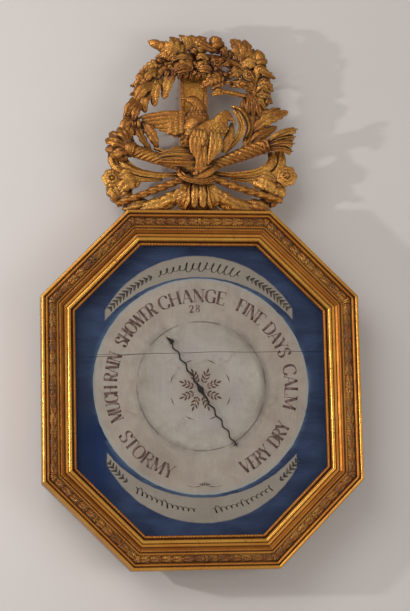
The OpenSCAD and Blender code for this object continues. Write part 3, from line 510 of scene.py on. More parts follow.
class Carving:
    """Closed shells that are carved from one piece of wood."""

    def __init__(self):
        self.points, self.faces, self.count = [], [], 0

    def add(self, points, faces):
        self.points.append(np.asarray(points, float))
        self.faces.extend(tuple(int(i) + self.count for i in face) for face in faces)
        self.count += len(points)

    def rows(self, table, mirror=1, **shared):
        """Carves what a table lists: a tool, its points as x, height and depth, then its sizes and what else
        differs. A row that starts with blanks carries on the one above it."""
        for row in table.strip().replace("\n    ", " ").splitlines():
            if row.startswith("#"):
                continue
            places, sizes = row.split(":")
            tool, places = places.split(" ", 1)
            points = [tuple(number(v) for v in place.split()) for place in places.split(",")]
            points = [(mirror * x, z, d) for x, z, d in points]
            parts = [part.split("=") for part in sizes.split()]
            plain = [number(part[0]) for part in parts if len(part) == 1]
            named = {part[0]: number(part[1]) for part in parts if len(part) == 2}
            if tool in ("leaf", "feather", "ribbon", "rod"):
                points = [points]
            getattr(self, tool)(*points, *plain, **named, **shared)

    def slab(self, front, back):
        """Closed shell between two grids of points."""
        rows, columns = front.shape[:2]
        size = rows * columns
        faces = []
        for i in range(rows - 1):
            for j in range(columns - 1):
                a = i * columns + j
                faces.append((a, a + 1, a + columns + 1, a + columns))
                faces.append((size + a, size + a + columns, size + a + columns + 1, size + a + 1))
        rim = [(0, j) for j in range(columns)] + [(i, columns - 1) for i in range(1, rows)]
        rim += [(rows - 1, j) for j in range(columns - 2, -1, -1)] + [(i, 0) for i in range(rows - 2, 0, -1)]
        rim = [i * columns + j for i, j in rim]
        for a, b in zip(rim, rim[1:] + rim[:1]):
            faces.append((b, a, size + a, size + b))
        self.add(np.vstack([front.reshape(-1, 3), back.reshape(-1, 3)]), faces)

    def strip(self, points, half, height, thick, count, columns, bank=0.0, floor=None):
        """Strip along a line, its half width and height being functions of the place along and across it."""
        line = smooth_line(points, count)
        side, out = (v[:, None] for v in directions(line, bank))
        line = line[:, None]
        across = np.sin(np.linspace(-1, 1, columns) * math.pi / 2)
        t, s = np.meshgrid(np.linspace(0, 1, count), across, indexing="ij")
        across, lift = (half(t, s) * s)[..., None], height(t, s)[..., None]
        front = line + side * across + out * lift
        if floor is None:
            under = (thick * (0.3 + 0.7 * (1 - s**2)))[..., None]
            back = line + side * across * 0.93 + out * (lift - under)
        else:
            back = front.copy()
            back[..., 2] = floor
        self.slab(front, back)

    def leaf(
        self, points, width, lobes, cut=0.34, arch=3.0, vein=1.3,
        thick=3.4, bank=0.0, blunt=0.7, tip=0.5, floor=None,
    ):
        """Leaf whose lobes sweep towards its tip, hollow between the veins."""

        def lobe(t, s):
            return np.abs(np.sin(math.pi * np.mod(t * lobes - 0.75 * np.abs(s) + 0.55, 1)))

        def half(t, s):
            outline = np.maximum(np.sin(math.pi * np.clip(t, 0, 1) ** blunt) ** tip, 0.26 * (1 - t) ** 0.5)
            outline = np.where(t > 0.999, 0.1, outline)
            return width * outline * (1 - cut * (1 - lobe(t, s) ** 0.7) * s**2)

        def height(t, s):
            swell = lobe(t, s) ** 0.6 * np.abs(s) ** 0.5 * (1.15 - np.abs(s))
            rib = np.exp(-((s / 0.13) ** 2))
            fade = np.sin(math.pi * (0.12 + 0.8 * t))
            return arch * (1 - s**2) * (1 - 0.4 * t) + vein * (2.2 * swell - 0.9 * rib) * fade

        count = max(16, int(lobes * 7) + 5)
        self.strip(points, half, height, thick, count, 13, bank, floor)

    def feather(self, points, width, barbs, arch, thick, end=0.72):
        """Feather with a quill and barbs, that closes from its end part on."""

        def half(t, s):
            close = np.sqrt(np.clip(1 - (np.clip(t - end, 0, 1) / (1.005 - end)) ** 2, 0.0, 1))
            return width * np.minimum(1, 0.6 + 2 * t) * close

        def height(t, s):
            quill = 0.55 * np.exp(-((s / 0.12) ** 2))
            comb = 0.28 * np.sin(2 * math.pi * (t * barbs - 1.6 * np.abs(s))) * np.abs(s) ** 0.4
            return arch * (1 - s**2) + quill + comb

        self.strip(points, half, height, thick, barbs * 3 + 4, 9)

    def ribbon(self, points, width, folds=2, bulge=2.0, fold=1.1, thick=2.4, count=40):
        """Ribbon with lengthwise folds and a turned-up edge."""

        def half(t, s):
            return along(width, len(t))[:, None] * np.ones_like(s)

        def height(t, s):
            ripple = np.cos(math.pi * folds * (s + 0.25 * np.sin(2 * math.pi * t)))
            return bulge * (1 - s**2) + fold * ripple + 0.5 * np.abs(s) ** 6

        self.strip(points, half, height, thick, count, 15)

    def turned(self, rings, start, end):
        """Closed shell through rings of points, with a point at each end."""
        count, around = rings.shape[:2]
        first, last = count * around, (count - 1) * around
        faces = []
        for j in range(around):
            k = (j + 1) % around
            for a, b in zip(range(0, last, around), range(around, first, around)):
                faces.append((a + j, b + j, b + k, a + k))
            faces += [(first, j, k), (first + 1, last + k, last + j)]
        self.add(np.vstack([rings.reshape(-1, 3), [start], [end]]), faces)

    def rod(self, points, radii, flutes=0, groove=0.18, twist=0.0, flat=1.0, count=10, around=14, wave=None):
        """Round or fluted rod along a line, closed at both ends. The radii change evenly along it."""
        line = smooth_line(points, count)
        side, out = directions(line)
        t = np.linspace(0, 1, count)[:, None]
        a = np.linspace(0, 2 * math.pi, around, endpoint=False)[None]
        r = along(radii, count)[:, None] * np.ones_like(a)
        if flutes:
            r = r * (1 - groove * (0.5 - 0.5 * np.cos(flutes * a + 2 * math.pi * twist * t)) ** 1.5)
        if wave:
            r = r * (1 + wave(t, a))
        rise = (flat * r * np.sin(a))[..., None]
        ring = line[:, None] + side[:, None] * (r * np.cos(a))[..., None] + out[:, None] * rise
        self.turned(ring, line[0], line[-1])

    def ball(self, centre, r, flat=1.0):
        x, z, d = centre
        turn = np.linspace(0, math.pi, 9)
        self.rod([(x, z - r, d), (x, z + r, d)], np.sin(turn) * r + 0.02, flat=flat, count=9, around=12)

    def pearl(self, centre, r, around):
        """Small ball with few faces."""
        x, z, d = centre
        rows = max(3, around // 2)
        v = np.arange(1, rows)[:, None] * math.pi / rows + np.zeros(around)
        u = np.arange(around) * 2 * math.pi / around
        out = r * np.sin(v)
        rings = np.stack([x + out * np.cos(u), z + out * np.sin(u), d - r * np.cos(v)], axis=-1)
        self.turned(rings, (x, z, d - r), (x, z, d + r))

    def wrap(self, line, half, inset, k):
        """Flat band laid over a round of rail k."""
        line = np.array(line)
        ahead = unit(np.gradient(line, axis=0))
        a, b = (np.array(p) for p in rail_ends(k, inset))
        run = np.array([*(b - a) / np.linalg.norm(b - a), 0.0])
        offsets = np.array([-1.0, -0.6, 0.0, 0.6, 1.0]) * half
        grid = line[:, None] + run * offsets[None, :, None]
        normal = unit(np.cross(ahead, run))
        normal *= np.where(normal[:, 2:] < 0, -1, 1)
        bulge = (0.5 * (1 - (offsets / half) ** 2))[None, :, None]
        self.slab(grid + normal[:, None] * bulge, grid - normal[:, None])

    def acorn(self, foot, tip, r, cup=0.45):
        """Nut with a scaly cup, from its stalk to its tip."""
        a, b = np.array(foot, float), np.array(tip, float)
        turn = np.linspace(0.02, 0.98, 12)
        nut = r * np.sin(math.pi * turn**0.95) ** 0.5

        def ridges(t, angle):
            return 0.035 * np.sin(7 * angle + 3 * np.sin(5 * t)) * np.sin(math.pi * t)

        self.rod([a + (b - a) * 0.12, b], np.append(nut, 0.4), count=22, around=28, wave=ridges)

        def scales(t, angle):
            return 0.07 * np.abs(np.sin(6 * angle + 9 * t)) * np.abs(np.sin(14 * t))

        dish = [0.25 * r, 0.8 * r, 1.08 * r, 1.16 * r, 1.12 * r, 0.9 * r]
        self.rod([a, a + (b - a) * cup], dish, count=18, around=36, wave=scales)

    def flower(self, centre, r, petals, rings=1, depth=4.0, cut=0.0):
        """Petals round a knob, standing out from the wall."""
        x, z, d = centre
        for ring in range(rings):
            size = r * (1 - 0.36 * ring)
            for k in range(petals):
                angle = 2 * math.pi * (k + 0.5 * ring) / petals
                ray = np.array([math.cos(angle), math.sin(angle)])
                middle, tip = ray * size * 0.55, ray * size
                line = [
                    (x, z, d + depth * 0.2 + 2 * ring),
                    (x + middle[0], z + middle[1], d + depth + 2.4 * ring),
                    (x + tip[0], z + tip[1], d + depth * 0.5 + 3 * ring),
                ]
                self.leaf(line, size * 2.7 / petals, 1, cut, 1.6, 0.9, 2.4, blunt=1.15, tip=0.35)
        self.ball((x, z, d + depth + 1.5 * rings), r * 0.24)

    def build(self, name, finish, *replaced, slot="gilt_carving", lift=FRAME_TOP):
        """Makes the object, in metres, within the size of the carved wood, and hides the nodes that it stands
        for.
        """
        pts = np.vstack(self.points)
        if lift:
            for axis, limit in ((1, CREST_TOP), (2, CREST_FRONT)):
                pts[:, axis] -= np.maximum(pts[:, axis] - limit + SQUEEZE_FROM, 0) * SQUEEZE
        metres = np.column_stack([pts[:, 0], -pts[:, 2], pts[:, 1] + lift]) * MM
        mesh = bpy.data.meshes.new(name)
        mesh.from_pydata(metres.tolist(), [], self.faces)
        mesh.validate()
        shape = bmesh.new()
        shape.from_mesh(mesh)
        bmesh.ops.recalc_face_normals(shape, faces=shape.faces)
        shape.to_mesh(mesh)
        shape.free()
        mesh.polygons.foreach_set("use_smooth", [True] * len(mesh.polygons))
        piece = bpy.data.objects.new(name, mesh)
        bpy.context.scene.collection.objects.link(piece)
        mesh.materials.append(finish)
        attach(piece, CASE)
        if replaced:
            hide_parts(*replaced)


def foliage(c, points, count, size, reach, *depth):
    """Small leaves that stand out in turn to both sides of a branch."""
    line = smooth_line([(x, z, 0) for x, z in points], 60)
    for i in range(count):
        at = min(58, int(58 * (i + rng.uniform(0.1, 0.9)) / count))
        p, run = line[at, :2], unit(line[at + 1, :2] - line[at, :2])
        side = np.array([-run[1], run[0]]) * (1 if i % 2 else -1)
        lean = rng.uniform(0.25, 1.1)
        length = size * rng.uniform(0.75, 1.2)
        base = p + side * rng.uniform(0, reach)
        way = unit(run * (1 - 0.35 * lean) + side * lean)
        curl = side * length * rng.uniform(-0.2, 0.15)
        d = rng.uniform(*depth)
        middle, tip = base + way * length * 0.5, base + way * length + curl
        path = [(*base, d - 2), (*middle, d + rng.uniform(3, 7)), (*tip, d - rng.uniform(-1, 3))]
        width, bank = length * rng.uniform(0.24, 0.32), rng.uniform(-22, 22)
        c.leaf(path, width, 3, cut=0.36, vein=1.2, thick=3, bank=bank)

# Carved pieces of the crest

WREATH_LEFT = """
rod -124 138 50, -112 180 52, -84 232 53, -44 272 54, -3 288 54: 7/8/8/8/6 flat=0.75 count=40
# broad leaves at the top
leaf -18 284 52, -40 298 64, -64 304 54: 18 6 cut=0.4 vein=2.2 bank=-8
leaf -20 288 50, -32 310 60, -42 329 52: 12 4 bank=10
leaf -16 294 54, -16 318 62, -26 336 54: 9 3 bank=-14
leaf -3 296 54, -4 318 63, -4 335 56: 11 3
leaf -3 281 56, -22 284 64, -44 278 60: 8 3
leaf -22 280 52, -50 288 60, -69 284 54: 10 4
acorn -50 303 52, -84 315 55: 8.5 0.4
# husk over the middle and the short leaves under it
leaf -4 262 60, -22 268 67, -42 258 58: 12 5 vein=2.0
rod -2 266 56, -22 262 62, -38 256 58: 4/9/11/8/2 flutes=8 groove=0.3 count=22 around=48
# leaves that fall over each other along the branch
leaf -36 278 50, -72 272 58, -104 250 52: 10 9 cut=0.5 vein=1.0
leaf -35 268 52, -49 240 58, -56 209 52: 12 4 cut=0.22 bank=14 tip=0.4
leaf -64 252 52, -73 224 58, -73 195 52: 11.5 4 cut=0.2 bank=12 tip=0.4
leaf -76 250 50, -96 242 62, -107 218 54: 13 5 cut=0.45 vein=1.9
leaf -62 262 52, -80 252 64, -98 232 58: 9 4
leaf -74 238 54, -96 222 64, -114 193 56: 11 3 cut=0.2
leaf -80 220 52, -92 204 60, -90 182 54: 10 3 cut=0.2 bank=10
leaf -98 212 54, -118 190 64, -128 164 54: 10 3 cut=0.22
leaf -98 200 56, -108 182 65, -114 160 58: 8.5 3 cut=0.25
leaf -108 180 54, -126 160 63, -133 138 54: 10 3 cut=0.22
leaf -112 168 54, -120 146 64, -122 124 56: 10 3 cut=0.25
# pair of hanging leaves
leaf -107 172 52, -100 140 61, -76 103 54: 8.5 6 cut=0.42 bank=-10
leaf -96 166 54, -81 143 62, -69 116 56: 10.5 5 cut=0.3 bank=10
rod -104 172 60, -103 158 62, -104 148 58: 2/4.5/3.5/1 count=12
leaf -124 146 50, -128 122 56, -122 104 52: 9 2 cut=0.15
"""


def carve_wreath_left():
    c = Carving()
    foliage(c, [(-3, 284), (-44, 276), (-84, 240), (-112, 186), (-124, 140)], 34, 19, 6, 48, 55)
    foliage(c, [(-70, 286), (-20, 268), (-2, 262)], 14, 15, 7, 50, 60)
    c.rows(WREATH_LEFT)
    for k, x in enumerate((-50, -38, -26, -14, -4)):
        c.leaf([(x + 4, 264, 50), (x, 256, 60), (x - 3, 245 + 2 * (k % 2), 54)], 7, 2)
    for x, z, r in ((-117, 163, 7), (-110, 172, 6), (-124, 152, 5.5), (-105, 160, 4.5)):
        c.ball((x, z, 60), r, 0.8)
    c.build("carved_wreath_left", CARVING, "wreath_left")


WREATH_RIGHT = """
rod 3 288 54, 40 284 54, 78 272 54, 104 248 53, 110 216 52, 104 180 52, 96 132 50: 6/8/9/8/8/8/7
    flat=0.75 count=50
# top: leaf, acorn and twigs
leaf 6 292 54, 12 314 64, 10 333 56: 13 4 vein=1.7
leaf 42 298 54, 14 308 66, 5 314 62: 8 2 cut=0.15
acorn 45 300 52, 35 334 58: 12 0.45
leaf 60 284 52, 54 300 62, 50 312 54: 7 3
leaf 84 276 52, 78 304 66, 68 322 56: 13 4 vein=1.8 bank=-10
leaf 86 276 54, 94 300 66, 92 320 58: 13 4 vein=1.8 bank=10
leaf 90 272 52, 106 288 62, 108 304 56: 9 3
acorn 123 270 54, 114 303 60: 11.5 0.42
leaf 80 272 54, 104 276 64, 128 268 54: 12 4 vein=1.7
# middle: flower, husk and serrated leaves
flower 41 276 56: 13 6 2 5
leaf 32 278 54, 12 286 64, 4 280 60: 8 3
leaf 26 262 54, 14 270 66, 4 262 62: 10 4 vein=1.9
rod 34 258 56, 18 262 63, 4 262 60: 3/8/10/8/4 flutes=8 groove=0.3 count=20 around=48
leaf 60 256 54, 34 246 62, 10 230 54: 12 7 cut=0.5 vein=1.6
leaf 58 248 52, 44 238 58, 30 228 54: 9 4 cut=0.4
rod 92 216 54, 70 220 57, 46 224 56: 4.5/4.5/3.5 count=14
leaf 52 224 55, 42 222 60, 31 216 56: 8 3
leaf 56 250 54, 76 258 62, 94 256 56: 9 4
leaf 66 240 54, 86 236 62, 108 228 54: 9 4
flower 98 254 56: 13 5 2 5 cut=0.2
ball 86 236 64: 7.5
# right side: curled and toothed leaves round the branch
ribbon 110 240 54, 116 264 66, 128 258 66, 146 250 56: 6/8/7/3 folds=1 bulge=3 count=30
leaf 108 246 52, 128 246 58, 142 262 52: 8 3
leaf 112 236 52, 130 236 62, 143 226 54: 10 5 cut=0.45
leaf 112 222 54, 124 230 64, 134 218 58: 7 3 bank=20
leaf 108 216 52, 126 216 62, 141 203 54: 9 4 cut=0.4
leaf 106 206 54, 118 204 64, 128 190 56: 8 3 cut=0.4
leaf 100 170 52, 88 196 58, 92 216 52: 7 3 bank=-12
# two long leaves that stand out to the right
leaf 94 144 48, 132 174 58, 170 190 50: 12.5 6 cut=0.34 vein=1.8 blunt=1.0
leaf 112 168 48, 136 186 56, 156 196 50: 8 4 cut=0.3 vein=1.6
leaf 86 114 48, 116 142 58, 149 162 50: 10.5 4 cut=0.14 vein=1.5 blunt=1.0
leaf 78 106 48, 100 134 55, 120 154 50: 7 3 cut=0.14
leaf 104 168 50, 126 184 56, 142 184 50: 10 4 cut=0.3
leaf 96 150 48, 94 126 54, 98 104 48: 9 2 cut=0.1
"""


def carve_wreath_right():
    c = Carving()
    foliage(c, [(104, 178), (112, 216), (110, 250), (84, 276)], 30, 21, 9, 47, 58)
    foliage(c, [(120, 180), (126, 214), (124, 250), (104, 284)], 16, 17, 5, 48, 58)
    foliage(c, [(96, 268), (60, 284), (30, 292), (2, 288)], 24, 18, 8, 48, 60)
    foliage(c, [(86, 236), (56, 250), (26, 262), (0, 262)], 20, 15, 7, 50, 60)
    c.rows(WREATH_RIGHT)
    for drop in (0, 6):
        twig = [(52, 280 - drop, 58), (70, 270 - drop, 58), (90, 264 - drop, 56)]
        c.rod(twig, [2.2, 2.6, 2], count=12, around=8)
    for k, x in enumerate((6, 18, 30)):
        c.leaf([(x + 3, 262, 50), (x, 254, 60), (x - 2, 244 + 2 * (k % 2), 54)], 7.5, 2)
    for x, bend in ((96, -5), (104, 0), (112, 5)):
        c.leaf([(x + bend, 176, 54), (x, 198, 62), (x - 2 - bend, 224, 54)], 6.5, 2, cut=0.2)
    c.build("carved_wreath_right", CARVING, "wreath_right")


def scales(c, centre, radii, rows, columns, size):
    """Flat overlapping feathers over the front of a rounded breast."""
    for i in range(rows):
        v = 0.85 - 1.7 * i / (rows - 1)
        ring = math.sqrt(1 - v * v)
        for j in range(columns):
            a = math.pi * (0.08 + 0.84 * (j + 0.5 * (i % 2)) / columns)
            n = np.array([-math.cos(a) * ring, v, math.sin(a) * ring])
            top = centre + n * radii
            down = np.array([n[0] * 0.3, -1.0, -n[2] * v * 0.4])
            low = top + unit(down) * size * 1.9 + n * 1.1
            middle = (top + low) / 2 + n * 0.5
            c.feather([top, middle, low], size * 0.6, 4, 0.35, 1.3)


DOVE_LEFT = """
rod -15 110 56, -14 132 60, -4 152 62, 1 170 62, 2 188 60: 5/10/16/21/21/15/10 flat=0.72 count=36 around=26
rod 3 184 59, 4 196 62, -5 204 64, -17 206 62: 11/10.5/9.5/8/4 flat=0.8 count=22 around=20
rod -13 206 63, -21 207.5 63, -28 206.5 61: 3.8/2.6/0.7 count=9 around=10
# rounded thigh
rod -16 142 58, -19 126 65, -17 106 60: 6/10.5/12/9.5/5 flat=0.8 count=22 around=20
"""


def carve_dove_left():
    """Dove with an open wing, its head laid to the left across the upright."""
    c = Carving()
    c.rows(DOVE_LEFT)
    scales(c, (1, 165, 60), (21, 24, 15), 8, 7, 7.4)
    scales(c, (4, 193, 60), (11, 10, 9), 5, 6, 4.6)
    # long feathers of the open wing, then the scaly ones over their roots
    quills = ((64, -102, 172), (64, -98, 166.5), (63, -92, 161.5), (62, -80, 155.5), (61, -67, 150))
    for i, (d, x, low) in enumerate(quills):
        z = 179 - (6.5 * i if i < 3 else 7 * i - 1)
        c.feather([(-14, z, d), (-52 + 3 * i, z - 0.5, d + 3), (x, low, 59)], 5.3, 30, 1.5, 3)
    for i, (z, x) in enumerate(((147, -56), (143.5, -50), (140.5, -43))):
        c.feather([(-10, z + 2, 62), (-30, z, 64 - i), (x, z - 0.5, 60)], 4.4, 14, 1.2, 3)
    for i, row in np.ndindex(8, 3):
        x, z = -18 - 10 * row, 181 - 5.0 * i - 2.2 * (row % 2)
        c.feather([(x, z, 66.5), (x - 8, z - 0.5, 69 - row), (x - 17, z - 2, 65.5 - row)], 3.3, 6, 0.7, 2)
    for i, j in np.ndindex(4, 3):
        x, z = -26 + 8 * j + i, 140 - 8 * i
        c.feather([(x, z, 69.5), (x + 0.5, z - 6, 73.5), (x + 1, z - 12, 70)], 4.0, 4, 0.4, 1.4)
    for i in range(3):
        c.feather([(-26 + 8 * i, 116, 62), (-26 + 8 * i, 106, 66), (-24 + 6 * i, 92, 62)], 4.6, 8, 1.0, 3)
    c.build("carved_dove_left", CARVING, "dove_left")


DOVE_RIGHT = """
rod 2 88 81, 5 110 82, 11 132 83, 24 149 84, 36 158 86: 8/14/19/22/22/17/12.5/11 flat=0.3 count=44 around=28
rod 58 167 88, 65 160 88, 68 153 86: 4/2.5/0.7 count=9 around=10
"""


def carve_dove_right():
    """Dove seen from behind, with folded wings and its head turned to the right."""

    def ruffle(t, a):
        return 0.09 * np.sin(7 * a + 3 * np.sin(19 * t)) * np.abs(np.sin(17 * t))

    c = Carving()
    c.rows(DOVE_RIGHT)
    neck = [(31, 151, 85), (41, 163, 86), (50, 171, 86), (60, 165, 86)]
    c.rod(neck, [9, 11.5, 11, 9, 4.5], flat=0.8, count=40, around=42, wave=ruffle)
    c.pearl((54, 171, 94), 1.8, 10)
    scales(c, (38, 156, 85), (13, 14, 9), 6, 5, 5.4)
    # far wing, dark behind the neck
    for i in range(4):
        path = [(62 - 2 * i, 160 - 4 * i, 79), (60 - 2.5 * i, 134, 83), (46 - 3 * i, 104 + 2 * i, 80)]
        c.feather(path, 4.6, 22, 1.2, 2.6)
    # tail
    for i, (x, z) in enumerate(((-4.5, 61), (2.6, 62), (10, 76))):
        c.feather([(2 + 5 * i, 118, 87), (-2 + 6 * i, 92, 93), (x, z, 86)], 4.0, 26, 1.6, 3)
    # left wing that sweeps down to the left, right wing spread to the right
    for i in range(5):
        root, near = (10 - 4.4 * i, 136 + 1.2 * i, 92), 1.5 * (i % 2)
        middle, tip = (0 - 3.4 * i, 114 + 2.4 * i, 94.5 - near), (3 - 3.6 * i, 78 + 5.4 * i, 88)
        c.feather([root, middle, tip], 3.9, 20, 2.8, 3.4)
        root, middle = (23 + 4.0 * i, 140 - 1.6 * i, 92), (22 + 4.2 * i, 116 - 0.6 * i, 95 - near)
        c.feather([root, middle, (16 + 3.6 * i, 80 + 4.6 * i, 88)], 3.7, 20, 2.8, 3.4)
    # short feathers over their roots
    for row, i in np.ndindex(2, 8):
        x, z = -7 + 6.2 * i + 2.6 * row, 146 - 0.9 * i - 11 * row
        if abs(x - 16.5) > 3 + row:
            c.feather([(x, z, 91), (x - 0.5, z - 9, 96), (x - 1, z - 19, 92.5)], 3.4, 6, 2.2, 2.6)
    c.build("carved_dove_right", CARVING, "dove_right")


TROPHY = """
rod -116 110 70, -62 92 70, -6 74 70: 12.5/11.5/9.5/8.5 twist=13 flutes=6 groove=0.17 count=130 around=48
rod 124 122 70, 64 98 70, 6 76 70: 14/13/10.5/8.5 twist=-12 flutes=6 groove=0.17 count=130 around=48
rod 0 72 68, 76 44 66, 152 22 64: 7/7/6 twist=9 flutes=3 groove=0.26 count=110 around=30
rod 0 70 68, -70 42 66, -145 13 64: 7/7/6 twist=-9 flutes=3 groove=0.26 count=110 around=30
# cup of the torch, and rings
rod -132 115 70, -122 112 70, -114 109.5 70: 9/13.4/13.6/13.6 count=14 around=26
"""
# Tip of each leaf of the flame: x, height, depth over the shaft and bank
FLAME = (
    (-140, 150, 3, 12), (-156, 141, -3, -12), (-164, 127, 4, 10),
    (-163, 111, -3, -14), (-155, 99, 4, 12), (-140, 92, -3, -8),
)
SHAFT_DEPTH = 70


def carve_trophy():
    """Torch to the left and quiver to the right, each with the lower part of its shaft."""
    c = Carving()
    c.rows(TROPHY)
    for x, z, lean in ((-115, 110, 1), (125, 122, -1), (118, 119.5, -1)):
        away = np.array([lean * 2.4, -0.9, 0])
        centre = np.array([x, z, SHAFT_DEPTH])
        c.rod([centre - away, centre, centre + away], [12.6, 15.2, 12.6], count=7, around=26)
    for x, z, d, bank in FLAME:
        d += SHAFT_DEPTH
        path = [(-122, 112, d - 2), (-125 + (x + 125) * 0.55, 112 + (z - 112) * 0.66, d + 7), (x, z, d - 3)]
        c.leaf(path, 10.5, 3, cut=0.26, arch=4, vein=1.8, bank=bank, blunt=1.0, tip=0.4)
    # feathers of the arrows, close together with square ends
    for i in range(4):
        z, d = 146 - 10.5 * i, SHAFT_DEPTH + 4 - 3 * (i % 2)
        tip = (178 - 3 * i, z + 4 - 3 * i, d + 1)
        path = np.array([(128, 128 - 4 * i, d - 1), (152, z - 3 + 1.5 * i, d + 4), tip])
        c.feather(path, 6.2, 16, 2.2, 5, end=0.95)
        c.rod(path + [(0, 0, 4), (0, 0, 4), (3, 1, 3)], [1.3, 1.6, 1.2], count=14, around=8)
    c.build("carved_torch_and_quiver", CARVING, "torch_and_quiver")


# Cloth wound round the crossing of the torch and the quiver
DRAPERY = """
ribbon -72 97 74, -50 101 82, -22 97 84, 4 90 80: 6/10/11/9 folds=2.2 bulge=4.0 fold=2.1 thick=6
ribbon -68 88 76, -42 87 84, -14 84 85, 10 84 79: 5/8/8.5/6 folds=1.7 bulge=4.0 fold=2.1 thick=6
ribbon -52 106 72, -36 112 76, -20 107 77: 3/6/4.5 folds=1 bulge=3 thick=4 count=20
rod -76 117 58, -56 110 62, -36 113 62, -22 112 60: 3/3.6/3.8/3 count=20 around=12
"""
# Bow that ties the torch and the quiver
KNOT = """
ribbon -34 80 76, -33 66 80, -18 55 84, 6 53 85, 24 60 82: 3.5/5/5.5/5/4 folds=1.5 bulge=2.4 thick=4
ribbon -30 84 78, -16 76 84, 4 74 88, 24 80 82: 3/4.6/5/3.6 folds=1 bulge=2.2 thick=3
ribbon -10 56 84, 10 62 90, 26 74 86, 32 86 78: 3.6/5.2/5.2/3 folds=1.4 bulge=2.2 thick=3
ribbon -28 62 78, -14 54 84, 6 50 84, 26 54 80: 3/4/4.4/3 folds=1 bulge=1.8 thick=3
ball -4 66 82: 9 0.6
"""
# Ribbons: two bands side by side in each loop
RIBBON_LEFT = """
ribbon -148 114 52, -149 94 56, -139 77 58, -120 66 58, -92 61 56, -62 62 55: 8/9.5/9/7.5/5.5/4 2 count=64
ribbon -133 110 56, -132 95 60, -122 82 62, -100 72 61, -60 67 61, -20 70 62: 7/8.5/8/6.5/5/5 1.5 count=74
"""
RIBBON_RIGHT = """
ribbon 151 116 52, 153 96 56, 144 79 58, 122 67 58, 92 62 56, 62 64 55: 8/9.5/9/7.5/5.5/4 2 count=64
ribbon 136 112 56, 137 96 60, 126 83 62, 102 73 61, 60 69 61, 22 72 62: 7/8.5/8/6.5/5/5 1.5 count=74
"""
STREAMERS = """
ribbon 70 189 58, 79 174 64, 82.5 156 66, 76 139 64, 60 121 60, 50 112 57: 4.5/6/6.4/6.2/5.4/4
    bulge=2.6 fold=0.9 thick=4 count=60
ribbon 66 195 58, 80 190 63, 91 174 64, 95 156 62, 90 140 58: 2.6/4.2/4.4/4/3
    folds=1 bulge=2.4 thick=4 count=50
"""


def carve(name, finish, replaced, table, **shared):
    """Piece that a table lists in full."""
    c = Carving()
    c.rows(table, **shared)
    c.build(name, finish, *replaced)


# Middle of the shell, split, with a scroll on each side
SHELL_SIDE = """
leaf 5 55 73, 6.5 32 78, 8 6 71: 8 3 cut=0.14 arch=4 vein=1.4 blunt=1.15 tip=0.35 thick=7
ribbon 12 54 69, 17 38 75, 18 20 75, 24 5 68: 2.5/3.6/4.2/3.4 folds=1 bulge=2.8 thick=6 count=36
leaf 30 40 58, 52 24 66, 84 7 57: 11 4 cut=0.2 arch=4 vein=1.7 blunt=0.9
"""


def carve_shell():
    """Broad leaf with blunt lobes under the knot."""
    c = Carving()
    c.rod([(-34, 22, 52), (0, 26, 58), (34, 22, 52)], [14, 25, 25, 14], flat=0.45, count=18, around=18)
    for i in (-4, 4, -3, 3, -2, 2, -1, 1):
        spread = math.radians(-90 + i * 9.0)
        ray = np.array([math.cos(spread), math.sin(spread)])
        start = np.array([i * 3.6, 53.0])
        middle = start + ray * 26
        tip = start + ray * np.array([52, 48 - abs(i)])
        tip[1] = max(tip[1], 4.0)
        d = 64 - 1.2 * abs(i)
        path = [(*start, d + 4), (*middle, d + 8), (*tip, d)]
        c.leaf(path, 13, 3, cut=0.14, arch=4.4, vein=1.4, thick=7, bank=i * 6, blunt=1.15, tip=0.35)
    for side in (-1, 1):
        c.rows(SHELL_SIDE, side)
    c.build("carved_acanthus_shell", BRIGHT_CARVING, "acanthus_shell")


# Leaves at one lower corner, as they lie on the right
SPRAY = """
leaf 30 36 54, 72 14 62, 116 8 54: 13 3 cut=0.14 arch=4.4 vein=1.6 blunt=0.95 tip=0.4
leaf 84 20 52, 112 14 60, 132 9 50: 12 3 cut=0.14 arch=4.4 vein=1.6 blunt=1.0 tip=0.4
leaf 36 22 50, 60 10 58, 86 6 52: 8 3 cut=0.16 arch=4.4
leaf 100 64 52, 126 52 61, 146 30 52: 15 4 cut=0.26 arch=4.4 vein=2.0
leaf 152 54 50, 147 36 57, 134 14 50: 13 4 cut=0.26 arch=4.4 vein=1.8
leaf 106 70 54, 126 70 61, 144 58 56: 10 3 cut=0.26 vein=1.7
leaf 118 40 50, 128 30 59, 142 24 52: 10 3 cut=0.22 vein=1.7
"""


def carve_spray(side, x, z, flower):
    """Leaves at one lower corner with the big flower of that side."""
    c = Carving()
    c.rows(SPRAY, side, floor=CREST_BACK)
    c.rod([(side * 120, 40, 48), (side * 140, 44, 50), (x, z, 50)], [10, 11, 9], flat=0.6, count=14)
    c.rows(flower)
    name = "spray_right" if side > 0 else "spray_left"
    c.build("carved_" + name, BRIGHT_CARVING, name)


carve_wreath_left()
carve_wreath_right()
carve_dove_left()
carve_dove_right()
carve_trophy()
carve("carved_drapery", CARVING, [], DRAPERY)
carve("carved_knot", CARVING, [], KNOT)
band = dict(bulge=2.8, fold=0.9, thick=5)
carve("carved_ribbon_left", BRIGHT_CARVING, ["ribbon_left"], RIBBON_LEFT, **band)
carve("carved_ribbon_right", BRIGHT_CARVING, ["ribbon_right"], RIBBON_RIGHT, **band)
carve("carved_streamers", BRIGHT_CARVING, ["streamers"], STREAMERS)
carve_shell()
carve_spray(-1, -152, 61, "flower -152 61 54: 18 6 2 6\nleaf -154 69 52, -140 81 58, -130 87 52: 8 3")
carve_spray(1, 164, 69, "flower 162 69 54: 20 7 3 6")


# Carved rails

CORNER = FRAME_SIDE - edge("rail_top", 1, 0)
